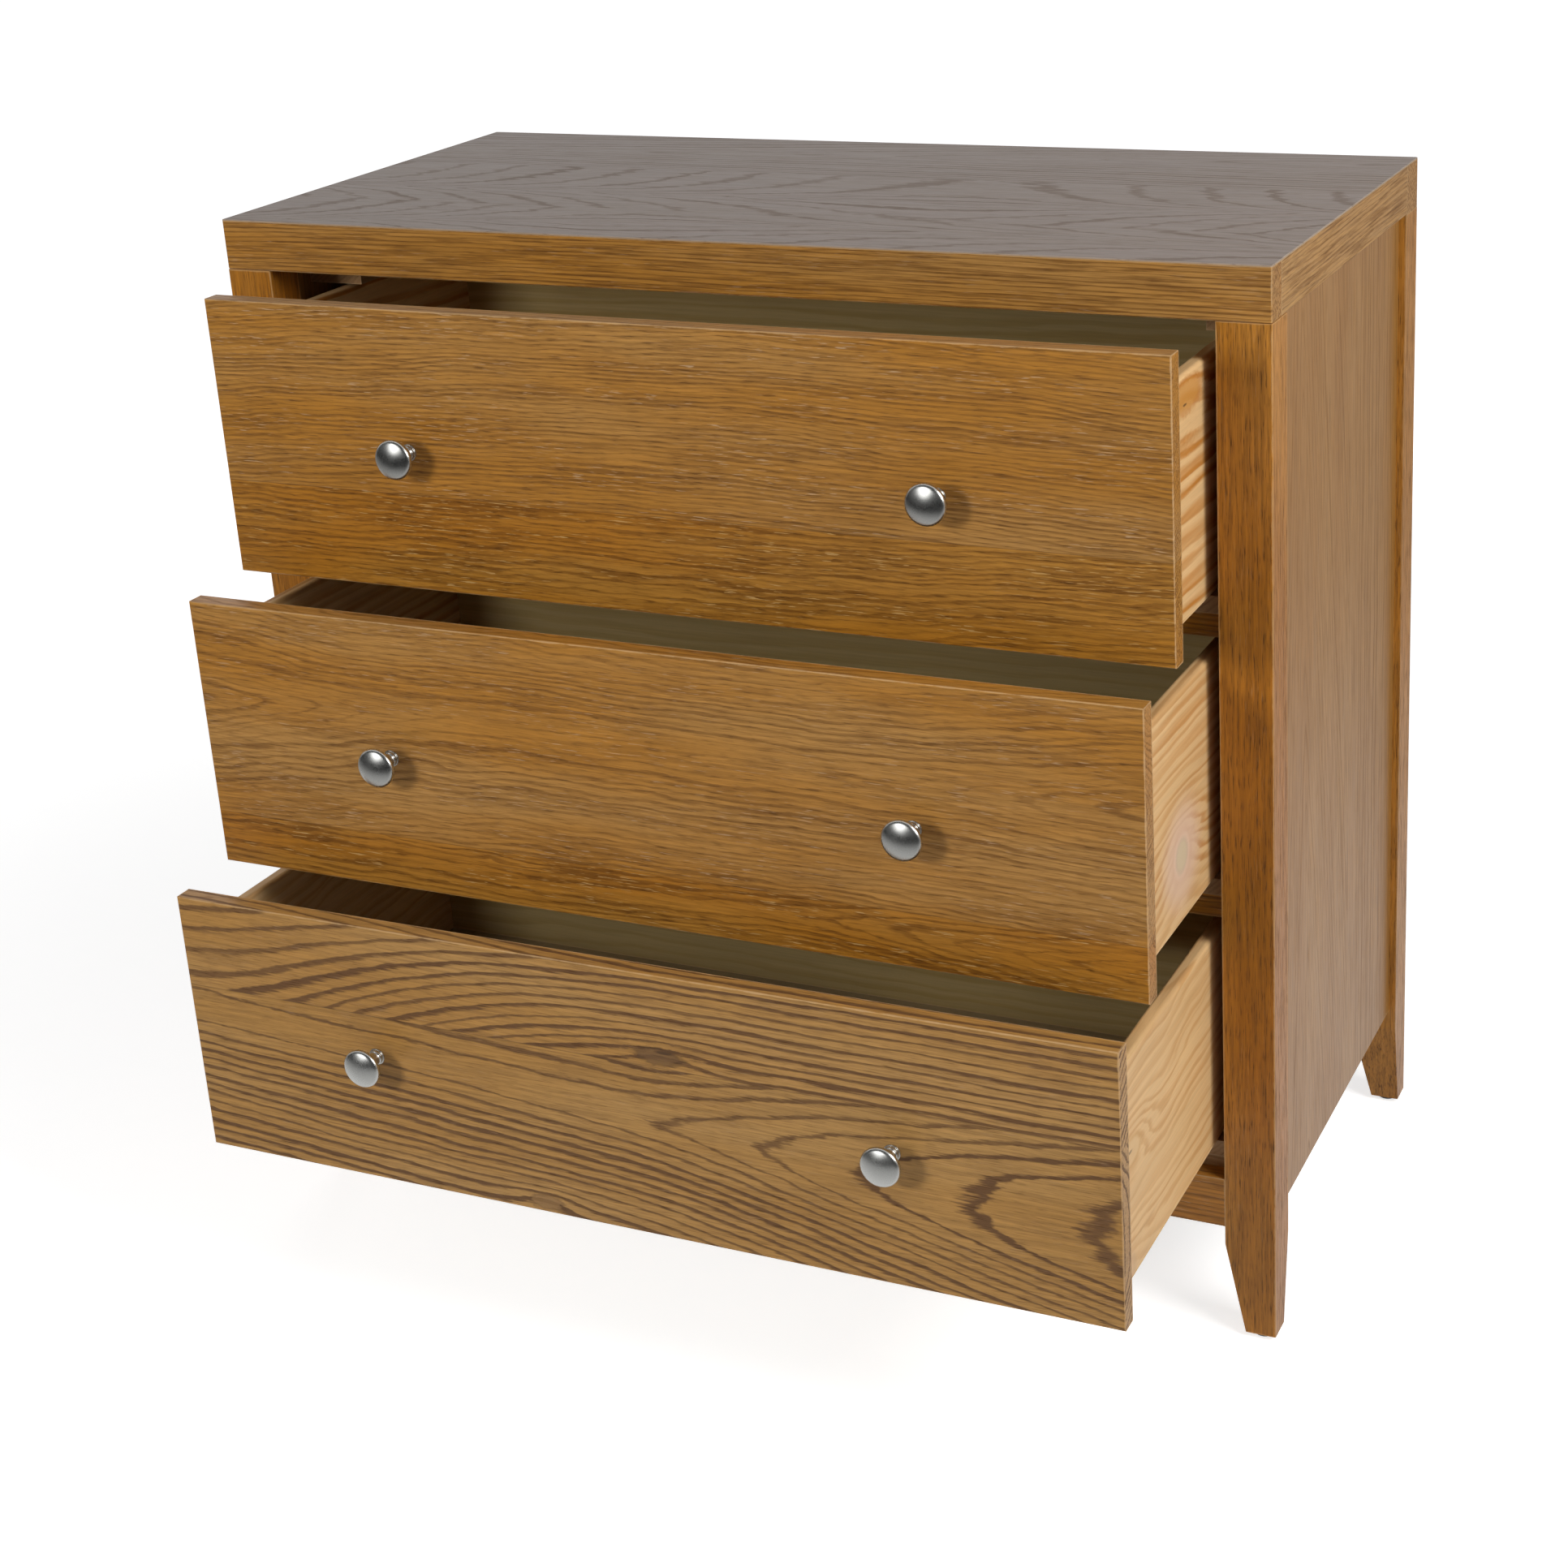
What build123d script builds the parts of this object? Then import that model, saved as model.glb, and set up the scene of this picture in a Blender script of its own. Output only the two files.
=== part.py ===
from build123d import *
import os

# Chest of drawers: three wide drawers in a frame on four tapered legs, drawn open in steps.
# Millimetres. Z is up, the front faces -Y, and X runs to the right as seen from the front.
# The origin is on the floor, under the middle of the carcass.

# Overall sizes of the carcass
overall_width = 914.0
overall_depth = 431.0
overall_height = 900.0

# Top slab
slab_thickness = 42.5
veneer_thickness = 1.0
veneer_round = 0.6
front_lipping = 24.0
back_lipping = 36.0
side_lipping = 24.0
corner_round = 1.6

# Legs
leg_width = 42.5
leg_depth = 37.0
foot_width = 25.5
foot_depth = 24.0
taper_height = 81.0
leg_arris = 1.0
glide_height = 4.5
glide_radius = 9.0
glide_edge = 1.5

# Side panels and back
panel_setback = 6.5
panel_thickness = 16.0
panel_floor_gap = 105.0
tongue_thickness = 8.0
tongue_depth = 8.0
back_thickness = 6.0
back_rebate = 8.0

# Rails between the legs
bottom_rail_height = 44.0
bottom_rail_floor_gap = 102.0
cross_rail_height = 19.0
cross_rail_width = 45.0

# Drawer fronts
gap_under_slab = 2.5
gap_between_fronts = 3.0
gap_over_bottom_rail = 5.8
gap_beside_front = 2.7
front_thickness = 16.0
front_arris = 1.2
closed_setback = 0.2
front_stop_gap = 1.8

# Drawer boxes
side_inset = 8.3
side_thickness = 12.0
side_below_front_top = 27.0
side_above_front_foot = 20.0
side_top_round = 3.5
back_wall_thickness = 12.0
back_wall_drop = 8.0
side_past_back = 6.0
gap_behind_drawer = 60.0
bottom_thickness = 6.0
bottom_raise = 17.0
groove_depth = 5.0
housing_depth = 4.0

# Sliding dovetail between a side and the front
dovetail_length = 7.0
dovetail_neck = 7.0
dovetail_tip = 9.6

# Runners, strips and guides
runner_height = 14.0
runner_inner_lap = 6.5
strip_thickness = 1.5
strip_width = 9.0
guide_lip_height = 12.0
guide_width = 22.0
guide_nose = 3.0
channel_width = 44.0
channel_groove = 7.5
channel_lift = 1.0
kicker_start = 80.0
kicker_lap = 10.0
kicker_gap = 2.0

# Knobs and their screws
knob_radius = 16.5
knob_projection = 28.0
knob_base_radius = 7.0
knob_base_height = 1.4
knob_base_step = 0.9
knob_collar_height = 2.6
knob_neck_radius = 4.6
knob_neck_flare = 1.6
knob_cap_height = 9.0
knob_cap_hollow = 3.6
knob_rim_round = 1.9
knob_dome_height = 3.2
knob_from_front_end = 182.0
screw_radius = 2.0
screw_reach = 12.0
screw_head_radius = 4.2
screw_head_height = 2.4
screw_head_round = 1.0
screw_tip_gap = 1.0

# Dowels and back panel screws
dowel_radius = 4.0
dowel_length = 34.0
rail_dowel_edge = 12.0
back_screw_radius = 1.75
back_screw_length = 19.0
back_screw_head_radius = 4.0
back_screw_head_height = 2.0
back_screw_count = 4
back_screw_edge = 40.0

# Clearances
glue_gap = 0.1
running_gap = 0.3
guide_gap = 0.8
channel_gap = 1.0
guide_top_gap = 0.5
hole_gap = 0.15

# How far each drawer stands open, measured from its closed place
drawer_openings = {"top": 92.0, "middle": 164.0, "bottom": 232.0}

# Places worked out from the sizes above
half_width = overall_width / 2
front_plane = -overall_depth / 2
back_plane = overall_depth / 2
slab_under = overall_height - slab_thickness
bay_half = half_width - leg_width
panel_outer = half_width - panel_setback
panel_inner = panel_outer - panel_thickness
front_leg_back = front_plane + leg_depth
rear_leg_front = back_plane - leg_depth
rear_dowel_y = rear_leg_front + (leg_depth - back_screw_length) / 2
back_panel_face = back_plane - back_thickness
bottom_rail_top = bottom_rail_floor_gap + bottom_rail_height
fronts_total = slab_under - gap_under_slab - 2 * gap_between_fronts - gap_over_bottom_rail - bottom_rail_top
front_height = fronts_total / 3
front_half = bay_half - gap_beside_front
side_outer = front_half - side_inset
side_inner = side_outer - side_thickness
side_height = front_height - side_below_front_top - side_above_front_foot
drawer_length = overall_depth - back_thickness - gap_behind_drawer
back_wall_outer = drawer_length - side_past_back
back_wall_inner = back_wall_outer - back_wall_thickness
runner_drop = runner_height + strip_thickness + running_gap
guide_height = runner_drop + channel_lift + channel_groove - guide_top_gap
cross_front = front_plane + closed_setback + front_thickness + front_stop_gap
rear_rail_front = back_panel_face - cross_rail_width


def board(x0, x1, y0, y1, z0, z1):
    """A straight board between two opposite corners."""
    size = Box(abs(x1 - x0), abs(y1 - y0), abs(z1 - z0))
    return Pos((x0 + x1) / 2, (y0 + y1) / 2, (z0 + z1) / 2) * size


def peg(radius, length, start, direction):
    """A round peg or hole that starts at a point and runs one way."""
    return Plane(origin=start, z_dir=direction) * Cylinder(
        radius, length, align=(Align.CENTER, Align.CENTER, Align.MIN)
    )


def mirrored(solid):
    """The same piece for the other side of the chest."""
    return mirror(solid, about=Plane.YZ)


def save(name, *solids):
    """Writes one piece, or one group of like pieces, to its own file."""
    shape = solids[0] if len(solids) == 1 else Compound(children=list(solids))
    export_step(shape, f"parts/{name}.step")


# Drawer levels

def front_top(order):
    """Height of a drawer front's upper edge; the top drawer is 0."""
    return slab_under - gap_under_slab - order * (front_height + gap_between_fronts)


def side_foot(order):
    """Height of the lower edge of a drawer's sides."""
    return front_top(order) - front_height + side_above_front_foot


def rail_top(order):
    """Height of the rail that carries a drawer's runners and centre guide."""
    return side_foot(order) - runner_drop


# Dowels

def rail_dowels():
    """Dowel centres between the rails and the legs, right side only."""
    places = []
    for level in (bottom_rail_floor_gap + rail_dowel_edge, bottom_rail_top - rail_dowel_edge):
        places.append(((front_plane + cross_front) / 2, level))
    for order in range(3):
        level = rail_top(order) - cross_rail_height / 2
        places.append(((cross_front + front_leg_back) / 2, level))
        places.append((rear_dowel_y, level))
    return places


def leg_dowels():
    """Dowel centres between the right legs and the slab."""
    middle = bay_half + leg_width / 2
    return [(middle, front_plane + leg_depth / 2), (middle, back_plane - leg_depth / 2)]


def dowel_solids(gap):
    """All dowels of the right side, or the holes for them when a gap is given."""
    radius = dowel_radius + gap
    length = dowel_length + 2 * gap
    solids = []
    for y, z in rail_dowels():
        solids.append(peg(radius, length, (bay_half - length / 2, y, z), (1, 0, 0)))
    for x, y in leg_dowels():
        solids.append(peg(radius, length, (x, y, slab_under - length / 2), (0, 0, 1)))
    return solids


# Top slab

def top_pieces():
    """Veneer sheet, core and four lippings of the slab."""
    core_top = overall_height - veneer_thickness
    core_front = front_plane + front_lipping
    core_back = back_plane - back_lipping
    core_side = half_width - side_lipping
    veneer = board(-half_width, half_width, front_plane, back_plane, core_top, overall_height)
    veneer = fillet(veneer.edges().filter_by(Axis.Z), corner_round)
    veneer = fillet(veneer.faces().sort_by(Axis.Z)[-1].edges(), veneer_round)
    core = board(-core_side, core_side, core_front, core_back, slab_under, core_top)
    front = board(-half_width, half_width, front_plane, core_front, slab_under, core_top)
    front = fillet(front.edges().filter_by(Axis.Z).group_by(Axis.Y)[0], corner_round)
    front = chamfer(front.faces().sort_by(Axis.Z)[0].edges().sort_by(Axis.Y)[0], leg_arris)
    back = board(-half_width, half_width, core_back, back_plane, slab_under, core_top)
    back = fillet(back.edges().filter_by(Axis.Z).group_by(Axis.Y)[-1], corner_round)
    right = board(core_side, half_width, core_front, core_back, slab_under, core_top)
    right = chamfer(right.faces().sort_by(Axis.Z)[0].edges().sort_by(Axis.X)[-1], leg_arris)
    for hole in dowel_solids(hole_gap):
        for each in (hole, mirrored(hole)):
            front -= each
            back -= each
    return {
        "top_veneer": veneer,
        "top_core": core,
        "top_front_lipping": front,
        "top_back_lipping": back,
        "top_right_lipping": right,
        "top_left_lipping": mirrored(right),
    }


# Legs

def tapered_leg():
    """A leg whose outer corner stands at the origin, front and right; it reaches to -X and +Y."""
    foot = glide_height
    shoulder = foot + taper_height
    upper = board(-leg_width, 0, 0, leg_depth, shoulder, slab_under)
    wide = Plane.XY.offset(shoulder) * Pos(-leg_width / 2, leg_depth / 2) * Rectangle(leg_width, leg_depth)
    narrow = Plane.XY.offset(foot) * Pos(-foot_width / 2, foot_depth / 2) * Rectangle(foot_width, foot_depth)
    lower = loft([wide, narrow], ruled=True)
    leg = (upper + lower).clean()
    outer = leg.edges().filter_by(Axis.Z).sort_by(lambda e: e.center().Y - e.center().X)[0]
    return fillet(outer, leg_arris)


def leg_pieces():
    """The four legs, with their grooves, dowel holes and the rebate for the back."""
    leg = tapered_leg()
    front = Pos(half_width, front_plane, 0) * leg
    rear = mirror(Pos(half_width, front_plane, 0) * leg, about=Plane.XZ)
    groove_outer = (panel_outer + panel_inner) / 2 + tongue_thickness / 2
    groove_inner = groove_outer - tongue_thickness
    reach = tongue_depth + glue_gap
    foot = panel_floor_gap - glue_gap
    front -= board(groove_inner, groove_outer, front_leg_back - reach, front_leg_back, foot, slab_under)
    rear -= board(groove_inner, groove_outer, rear_leg_front, rear_leg_front + reach, foot, slab_under)
    rebate = bay_half + back_rebate
    rear -= board(bay_half, rebate, back_panel_face, back_plane, foot, slab_under)
    for hole in dowel_solids(hole_gap):
        front -= hole
        rear -= hole
    for x, z in back_screw_places():
        if x > bay_half:
            rear -= back_screw_hole(x, z)
    return {
        "leg_front_right": front,
        "leg_front_left": mirrored(front),
        "leg_rear_right": rear,
        "leg_rear_left": mirrored(rear),
    }


def leg_glides():
    """Four round glides, one under the middle of each foot."""
    disc = Cylinder(glide_radius, glide_height, align=(Align.CENTER, Align.CENTER, Align.MIN))
    disc = chamfer(disc.faces().sort_by(Axis.Z)[0].edges(), glide_edge)
    x = half_width - foot_width / 2
    y = overall_depth / 2 - foot_depth / 2
    return [Pos(i * x, j * y, 0) * disc for i in (-1, 1) for j in (-1, 1)]


# Panels

def side_panel():
    """Right side panel with a tongue along each upright edge."""
    panel = board(panel_inner, panel_outer, front_leg_back, rear_leg_front, panel_floor_gap, slab_under)
    middle = (panel_outer + panel_inner) / 2
    half = tongue_thickness / 2
    front = front_leg_back - tongue_depth
    rear = rear_leg_front + tongue_depth
    return panel + board(middle - half, middle + half, front, rear, panel_floor_gap, slab_under)


def back_screw_places():
    """Screw centres down both edges of the back panel."""
    x = bay_half + back_rebate / 2
    low = panel_floor_gap + back_screw_edge
    high = slab_under - back_screw_edge
    step = (high - low) / (back_screw_count - 1)
    return [(side * x, low + i * step) for side in (-1, 1) for i in range(back_screw_count)]


def back_screw_hole(x, z):
    """The hole that a back panel screw needs in the panel and the leg."""
    radius = back_screw_radius + hole_gap
    return peg(radius, back_screw_length + hole_gap, (x, back_plane, z), (0, -1, 0))


def back_screw(x, z):
    """A round-headed screw whose head sits on the back panel."""
    shank = peg(back_screw_radius, back_screw_length, (x, back_plane, z), (0, -1, 0))
    head = peg(back_screw_head_radius, back_screw_head_height, (x, back_plane, z), (0, 1, 0))
    return shank + head


def back_panel():
    """Thin back panel in the rebates of the rear legs."""
    half = bay_half + back_rebate
    panel = board(-half, half, back_panel_face, back_plane, panel_floor_gap, slab_under)
    for x, z in back_screw_places():
        panel -= back_screw_hole(x, z)
    return panel


# Rails

def drilled(rail):
    """A rail with its dowel holes at both ends."""
    for hole in dowel_solids(hole_gap):
        rail -= hole
        rail -= mirrored(hole)
    return rail


def rail_pieces():
    """Front rails between the legs, and the rails behind that carry the runners."""
    rails = {}
    names = ("divider_rail_upper", "divider_rail_lower", "bottom_cross_rail")
    rear = []
    for order, name in enumerate(names):
        top = rail_top(order)
        low = top - cross_rail_height
        rail = board(-bay_half, bay_half, cross_front, cross_front + cross_rail_width, low, top)
        rails[name] = drilled(rail)
        rear.append(drilled(board(-bay_half, bay_half, rear_rail_front, back_panel_face, low, top)))
    rail = board(-bay_half, bay_half, front_plane, cross_front, bottom_rail_floor_gap, bottom_rail_top)
    rails["bottom_rail"] = drilled(rail)
    return rails, rear


# Runners and guides

def runner(order):
    """Right runner of a drawer: a shelf for the side, a guide lip beside it, notched round both legs."""
    low = rail_top(order)
    top = low + runner_height
    inner = side_inner - runner_inner_lap
    shelf = board(inner, bay_half, cross_front, back_panel_face, low, top)
    shelf += board(inner, panel_inner, front_leg_back, rear_leg_front, low, top)
    lip = side_outer + guide_gap
    return shelf + board(lip, panel_inner, front_leg_back, rear_leg_front, top, top + guide_lip_height)


def glide_strip(order):
    """Thin smooth strip on the right runner, under the drawer side."""
    low = rail_top(order) + runner_height
    middle = (side_inner + side_outer) / 2
    half = strip_width / 2
    return board(middle - half, middle + half, cross_front, back_panel_face, low, low + strip_thickness)


def centre_guide(order):
    """Bar under the middle of a drawer, from the front rail to the rear rail."""
    low = rail_top(order)
    half = guide_width / 2
    bar = board(-half, half, cross_front, back_panel_face, low, low + guide_height)
    nose = bar.faces().sort_by(Axis.Y)[0].edges().filter_by(Axis.Z)
    return chamfer(nose, guide_nose)


def kicker():
    """Right kicker under the slab, just over the top drawer's side."""
    inner = side_inner - kicker_lap
    low = front_top(0) - side_below_front_top + kicker_gap
    return board(inner, panel_inner, front_plane + kicker_start, rear_leg_front, low, slab_under)


# Drawers, each modelled with its front face at Y = 0 and its sides' feet at Z = 0

def dovetail(gap):
    """Plan of the sliding dovetail on the right side's front end, or of its slot with a gap."""
    middle = (side_inner + side_outer) / 2
    root = front_thickness
    tip = front_thickness - dovetail_length - gap
    neck = dovetail_neck / 2 + gap
    wide = dovetail_tip / 2 + gap
    points = [(middle - neck, root), (middle - wide, tip), (middle + wide, tip), (middle + neck, root)]
    return make_face(Polyline(*points, close=True))


def drawer_side():
    """Right drawer side: dovetail in front, rounded top, groove and housing inside."""
    wall = board(side_inner, side_outer, front_thickness, drawer_length, 0, side_height)
    wall += extrude(dovetail(0), side_height)
    top_edges = wall.faces().sort_by(Axis.Z)[-1].edges().filter_by(Axis.Y)
    wall = fillet(top_edges, side_top_round)
    reach = side_inner + groove_depth
    tip = front_thickness - dovetail_length
    upper = bottom_raise + bottom_thickness
    wall -= board(side_inner, reach, tip, drawer_length, bottom_raise, upper)
    housing = side_inner + housing_depth
    top = side_height - back_wall_drop
    return wall - board(side_inner, housing, back_wall_inner, back_wall_outer, 0, top)


def knob_places():
    """Distances of the two knobs from the middle of the front."""
    x = front_half - knob_from_front_end
    return (-x, x)


def drawer_front():
    """Front board with a groove, two blind dovetail slots and two screw holes in its back."""
    foot = -side_above_front_foot
    top = foot + front_height
    face = board(-front_half, front_half, 0, front_thickness, foot, top)
    face = fillet(face.faces().sort_by(Axis.Y)[0].edges(), front_arris)
    slot = Pos(0, 0, foot) * extrude(dovetail(hole_gap), side_height + side_above_front_foot + hole_gap)
    face -= slot
    face -= mirrored(slot)
    half = side_inner + groove_depth
    inner = front_thickness - groove_depth
    face -= board(-half, half, inner, front_thickness, bottom_raise, bottom_raise + bottom_thickness)
    middle = foot + front_height / 2
    for x in knob_places():
        face -= peg(screw_radius + hole_gap, front_thickness, (x, 0, middle), (0, 1, 0))
    return face


def drawer_back():
    """Back wall, housed between the sides and standing on the bottom."""
    half = side_inner + housing_depth - glue_gap
    low = bottom_raise + bottom_thickness
    return board(-half, half, back_wall_inner, back_wall_outer, low, side_height - back_wall_drop)


def drawer_bottom():
    """Thin bottom in the grooves of the front and the sides, under the back wall."""
    half = side_inner + groove_depth - glue_gap
    front = front_thickness - groove_depth + glue_gap
    return board(-half, half, front, back_wall_outer, bottom_raise, bottom_raise + bottom_thickness)


def centre_runner():
    """Channel under the bottom that rides along the centre guide."""
    low = channel_lift
    top = bottom_raise
    half = channel_width / 2
    bar = board(-half, half, front_thickness, back_wall_outer, low, top)
    slot = guide_width / 2 + channel_gap
    return bar - board(-slot, slot, front_thickness, back_wall_outer, low, low + channel_groove)


def knob():
    """Mushroom knob that stands on Z = 0: stepped base with a screw hole, waisted neck, domed cap."""
    collar_radius = knob_base_radius - knob_base_step
    neck_low = knob_base_height + knob_collar_height
    neck_high = knob_projection - knob_cap_height - knob_cap_hollow
    neck_middle = (neck_low + neck_high) / 2
    rim_low = knob_projection - knob_cap_height
    rim_top = knob_projection - knob_dome_height
    rim_middle = (rim_low + rim_top) / 2
    rim_foot = knob_radius - knob_rim_round
    flare = knob_neck_radius + knob_neck_flare
    hole = screw_radius + hole_gap
    base = Polyline(
        (0, screw_reach), (hole, screw_reach), (hole, 0), (knob_base_radius, 0),
        (knob_base_radius, knob_base_height), (collar_radius, knob_base_height), (collar_radius, neck_low),
    )
    neck = ThreePointArc((collar_radius, neck_low), (knob_neck_radius, neck_middle), (flare, neck_high))
    under_middle = ((flare + rim_foot) / 2, rim_low - knob_cap_hollow / 4)
    under = ThreePointArc((flare, neck_high), under_middle, (rim_foot, rim_low))
    rim = ThreePointArc((rim_foot, rim_low), (knob_radius, rim_middle), (rim_foot, rim_top))
    dome = TangentArc((0, knob_projection), (rim_foot, rim_top), tangent=(1, 0))
    axis = Line((0, knob_projection), (0, screw_reach))
    outline = make_face([base, neck, under, rim, dome, axis])
    return revolve(Plane.XZ * outline, Axis.Z)


def knob_screw():
    """Round-headed screw through the front, with its head inside the drawer."""
    reach = screw_reach - screw_tip_gap
    shank = peg(screw_radius, front_thickness + reach, (0, front_thickness, 0), (0, -1, 0))
    head = peg(screw_head_radius, screw_head_height, (0, front_thickness, 0), (0, 1, 0))
    return shank + fillet(head.faces().sort_by(Axis.Y)[-1].edges(), screw_head_round)


def drawer_pieces(name, order):
    """All pieces of one drawer, in their open place."""
    y = front_plane + closed_setback - drawer_openings[name]
    place = Pos(0, y, side_foot(order))
    side = drawer_side()
    middle = front_height / 2 - side_above_front_foot
    turned = Rot(90, 0, 0) * knob()
    left, right = knob_places()
    screw = knob_screw()
    save(f"drawer_{name}_front", place * drawer_front())
    save(f"drawer_{name}_side_right", place * side)
    save(f"drawer_{name}_side_left", place * mirrored(side))
    save(f"drawer_{name}_back", place * drawer_back())
    save(f"drawer_{name}_bottom", place * drawer_bottom())
    save(f"drawer_{name}_centre_runner", place * centre_runner())
    save(f"drawer_{name}_knob_left", place * Pos(left, 0, middle) * turned)
    save(f"drawer_{name}_knob_right", place * Pos(right, 0, middle) * turned)
    save(f"drawer_{name}_knob_screws", *[place * Pos(x, 0, middle) * screw for x in (left, right)])


def main():
    os.makedirs("parts", exist_ok=True)
    for name, solid in {**top_pieces(), **leg_pieces()}.items():
        save(name, solid)
    save("leg_glides", *leg_glides())
    panel = side_panel()
    save("side_panel_right", panel)
    save("side_panel_left", mirrored(panel))
    save("back_panel", back_panel())
    save("back_panel_screws", *[back_screw(x, z) for x, z in back_screw_places()])
    rails, rear = rail_pieces()
    for name, solid in rails.items():
        save(name, solid)
    save("rear_rails", *rear)
    dowels = dowel_solids(0)
    save("carcass_dowels", *dowels, *[mirrored(dowel) for dowel in dowels])
    strips = []
    for order, name in enumerate(drawer_openings):
        right = runner(order)
        save(f"runner_{name}_right", right)
        save(f"runner_{name}_left", mirrored(right))
        save(f"centre_guide_{name}", centre_guide(order))
        strip = glide_strip(order)
        strips += [strip, mirrored(strip)]
        drawer_pieces(name, order)
    save("glide_strips", *strips)
    bar = kicker()
    save("kicker_right", bar)
    save("kicker_left", mirrored(bar))


main()
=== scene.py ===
"""Finishes, fittings and stage of a chest with three drawers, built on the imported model."""

import math

import bmesh
import bpy
from mathutils import Matrix, Vector


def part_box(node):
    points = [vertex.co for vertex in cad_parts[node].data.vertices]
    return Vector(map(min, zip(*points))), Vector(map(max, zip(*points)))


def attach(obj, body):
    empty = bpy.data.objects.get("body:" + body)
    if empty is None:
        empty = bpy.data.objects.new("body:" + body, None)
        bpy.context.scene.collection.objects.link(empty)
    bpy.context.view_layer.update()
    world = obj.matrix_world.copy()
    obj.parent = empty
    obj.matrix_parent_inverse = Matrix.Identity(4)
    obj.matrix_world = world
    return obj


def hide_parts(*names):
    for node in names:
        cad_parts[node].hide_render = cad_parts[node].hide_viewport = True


bl_info = {
    "name": "Chest of Three Drawers",
    "version": (1, 0, 0),
    "blender": (4, 5, 0),
    "location": "View3D > Sidebar > Chest",
    "description": "Wood finishes, knobs, screws, glides and stage of a chest with three drawers",
    "category": "Object",
}

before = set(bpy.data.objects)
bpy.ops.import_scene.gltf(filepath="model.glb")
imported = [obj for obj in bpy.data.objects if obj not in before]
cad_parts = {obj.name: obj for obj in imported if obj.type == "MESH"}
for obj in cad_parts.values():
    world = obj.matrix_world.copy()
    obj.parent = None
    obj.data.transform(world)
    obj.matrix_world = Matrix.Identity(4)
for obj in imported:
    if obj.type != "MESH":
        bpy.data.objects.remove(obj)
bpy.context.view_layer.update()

MM = 0.001
LEVELS = ("top", "middle", "bottom")
SIDES = ("right", "left")


# Settings

def colour(name, description, default):
    """A colour setting."""
    return bpy.props.FloatVectorProperty(
        name=name, description=description, default=default, subtype="COLOR", size=3, min=0.0, max=1.0
    )


def length(name, description, default):
    """A length setting, in metres."""
    return bpy.props.FloatProperty(
        name=name, description=description, default=default, min=0.0, unit="LENGTH", precision=5
    )


def share(name, description, default, most=1.0):
    """A plain number setting."""
    return bpy.props.FloatProperty(name=name, description=description, default=default, min=0.0, max=most)


def angle(name, description, default):
    """An angle setting, in radians."""
    return bpy.props.FloatProperty(name=name, description=description, default=default, unit="ROTATION")


def power(name, description, default):
    """The power of a lamp."""
    return bpy.props.FloatProperty(
        name=name, description=description, default=default, min=0.0, unit="POWER"
    )


class ChestFinish(bpy.types.PropertyGroup):
    """Colours of the woods, metals and plastics."""

    oak_pale: colour("Oak, pale", "Wood between the growth lines", (0.438, 0.225, 0.060))
    oak_gold: colour("Oak, golden", "Warmer patches of the same wood", (0.42, 0.170, 0.014))
    oak_light: colour("Oak, light", "Paler veneer of the bottom front", (0.46, 0.252, 0.078))
    oak_tan: colour("Oak, tan", "Warmer patches of that veneer", (0.415, 0.205, 0.046))
    oak_line: colour("Oak, growth line", "Open grain of each year's ring", (0.145, 0.057, 0.011))
    oak_grey: colour("Oak, grey growth line", "Growth lines of the bottom front", (0.145, 0.070, 0.027))
    oak_pore: colour("Oak, pore", "Dark bottom of the pores", (0.075, 0.028, 0.006))
    oak_fleck: colour("Oak, fleck", "Small pale dashes in the open grain", (0.52, 0.34, 0.19))
    leg_pale: colour("Leg, pale", "Solid wood of legs and bottom rail", (0.47, 0.200, 0.030))
    leg_gold: colour("Leg, golden", "Warmer patches of the solid wood", (0.38, 0.142, 0.012))
    # The side panels' colours are the oak made about a sixth darker: painted shade that tones down the
    # light the right softbox throws on them.
    panel_pale_shaded: colour("Panel, pale", "Veneer of the side panels", (0.37, 0.185, 0.050))
    panel_gold_shaded: colour("Panel, golden", "Warmer patches of the side panels", (0.32, 0.145, 0.030))
    # The top's three colours are the oak made darker and greyer: painted shade and painted sheen for a top
    # that takes little light.
    top_pale_shaded: colour("Top, pale", "Wood of the top sheet", (0.215, 0.150, 0.116))
    top_gold_shaded: colour("Top, golden", "Warmer patches of the top sheet", (0.195, 0.132, 0.092))
    top_line_shaded: colour("Top, growth line", "Open grain of the top sheet", (0.085, 0.042, 0.012))
    pine_pale: colour("Pine, pale", "Early wood of the drawer sides", (0.73, 0.47, 0.22))
    pine_band: colour("Pine, band", "Late wood of the drawer sides", (0.50, 0.20, 0.035))
    back_pale: colour("Drawer back, pale", "Early wood of the drawer backs", (0.60, 0.45, 0.20))
    back_band: colour("Drawer back, band", "Late wood of the drawer backs", (0.45, 0.29, 0.09))
    hardwood_pale: colour("Hardwood, pale", "Runners, guides, dowels and hidden rails", (0.42, 0.25, 0.12))
    hardwood_band: colour("Hardwood, band", "Growth lines of the hidden hardwood", (0.27, 0.14, 0.06))
    plywood_pale: colour("Plywood, pale", "Face of drawer bottoms and back panel", (0.46, 0.36, 0.21))
    plywood_band: colour("Plywood, band", "Growth lines of the plywood face", (0.34, 0.24, 0.12))
    core_tint: colour("Core board", "Chips of the core board", (0.42, 0.30, 0.18))
    nickel: colour("Nickel", "Satin nickel of the knobs", (0.60, 0.60, 0.575))
    steel: colour("Steel", "Bright steel of the screws", (0.55, 0.55, 0.56))
    glide: colour("Glide", "Dark plastic of the glides", (0.016, 0.016, 0.017))
    strip: colour("Strip", "Pale nylon of the glide strips", (0.66, 0.62, 0.52))
    sheen: share("Varnish roughness", "Roughness of the satin varnish", 0.34)


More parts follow.
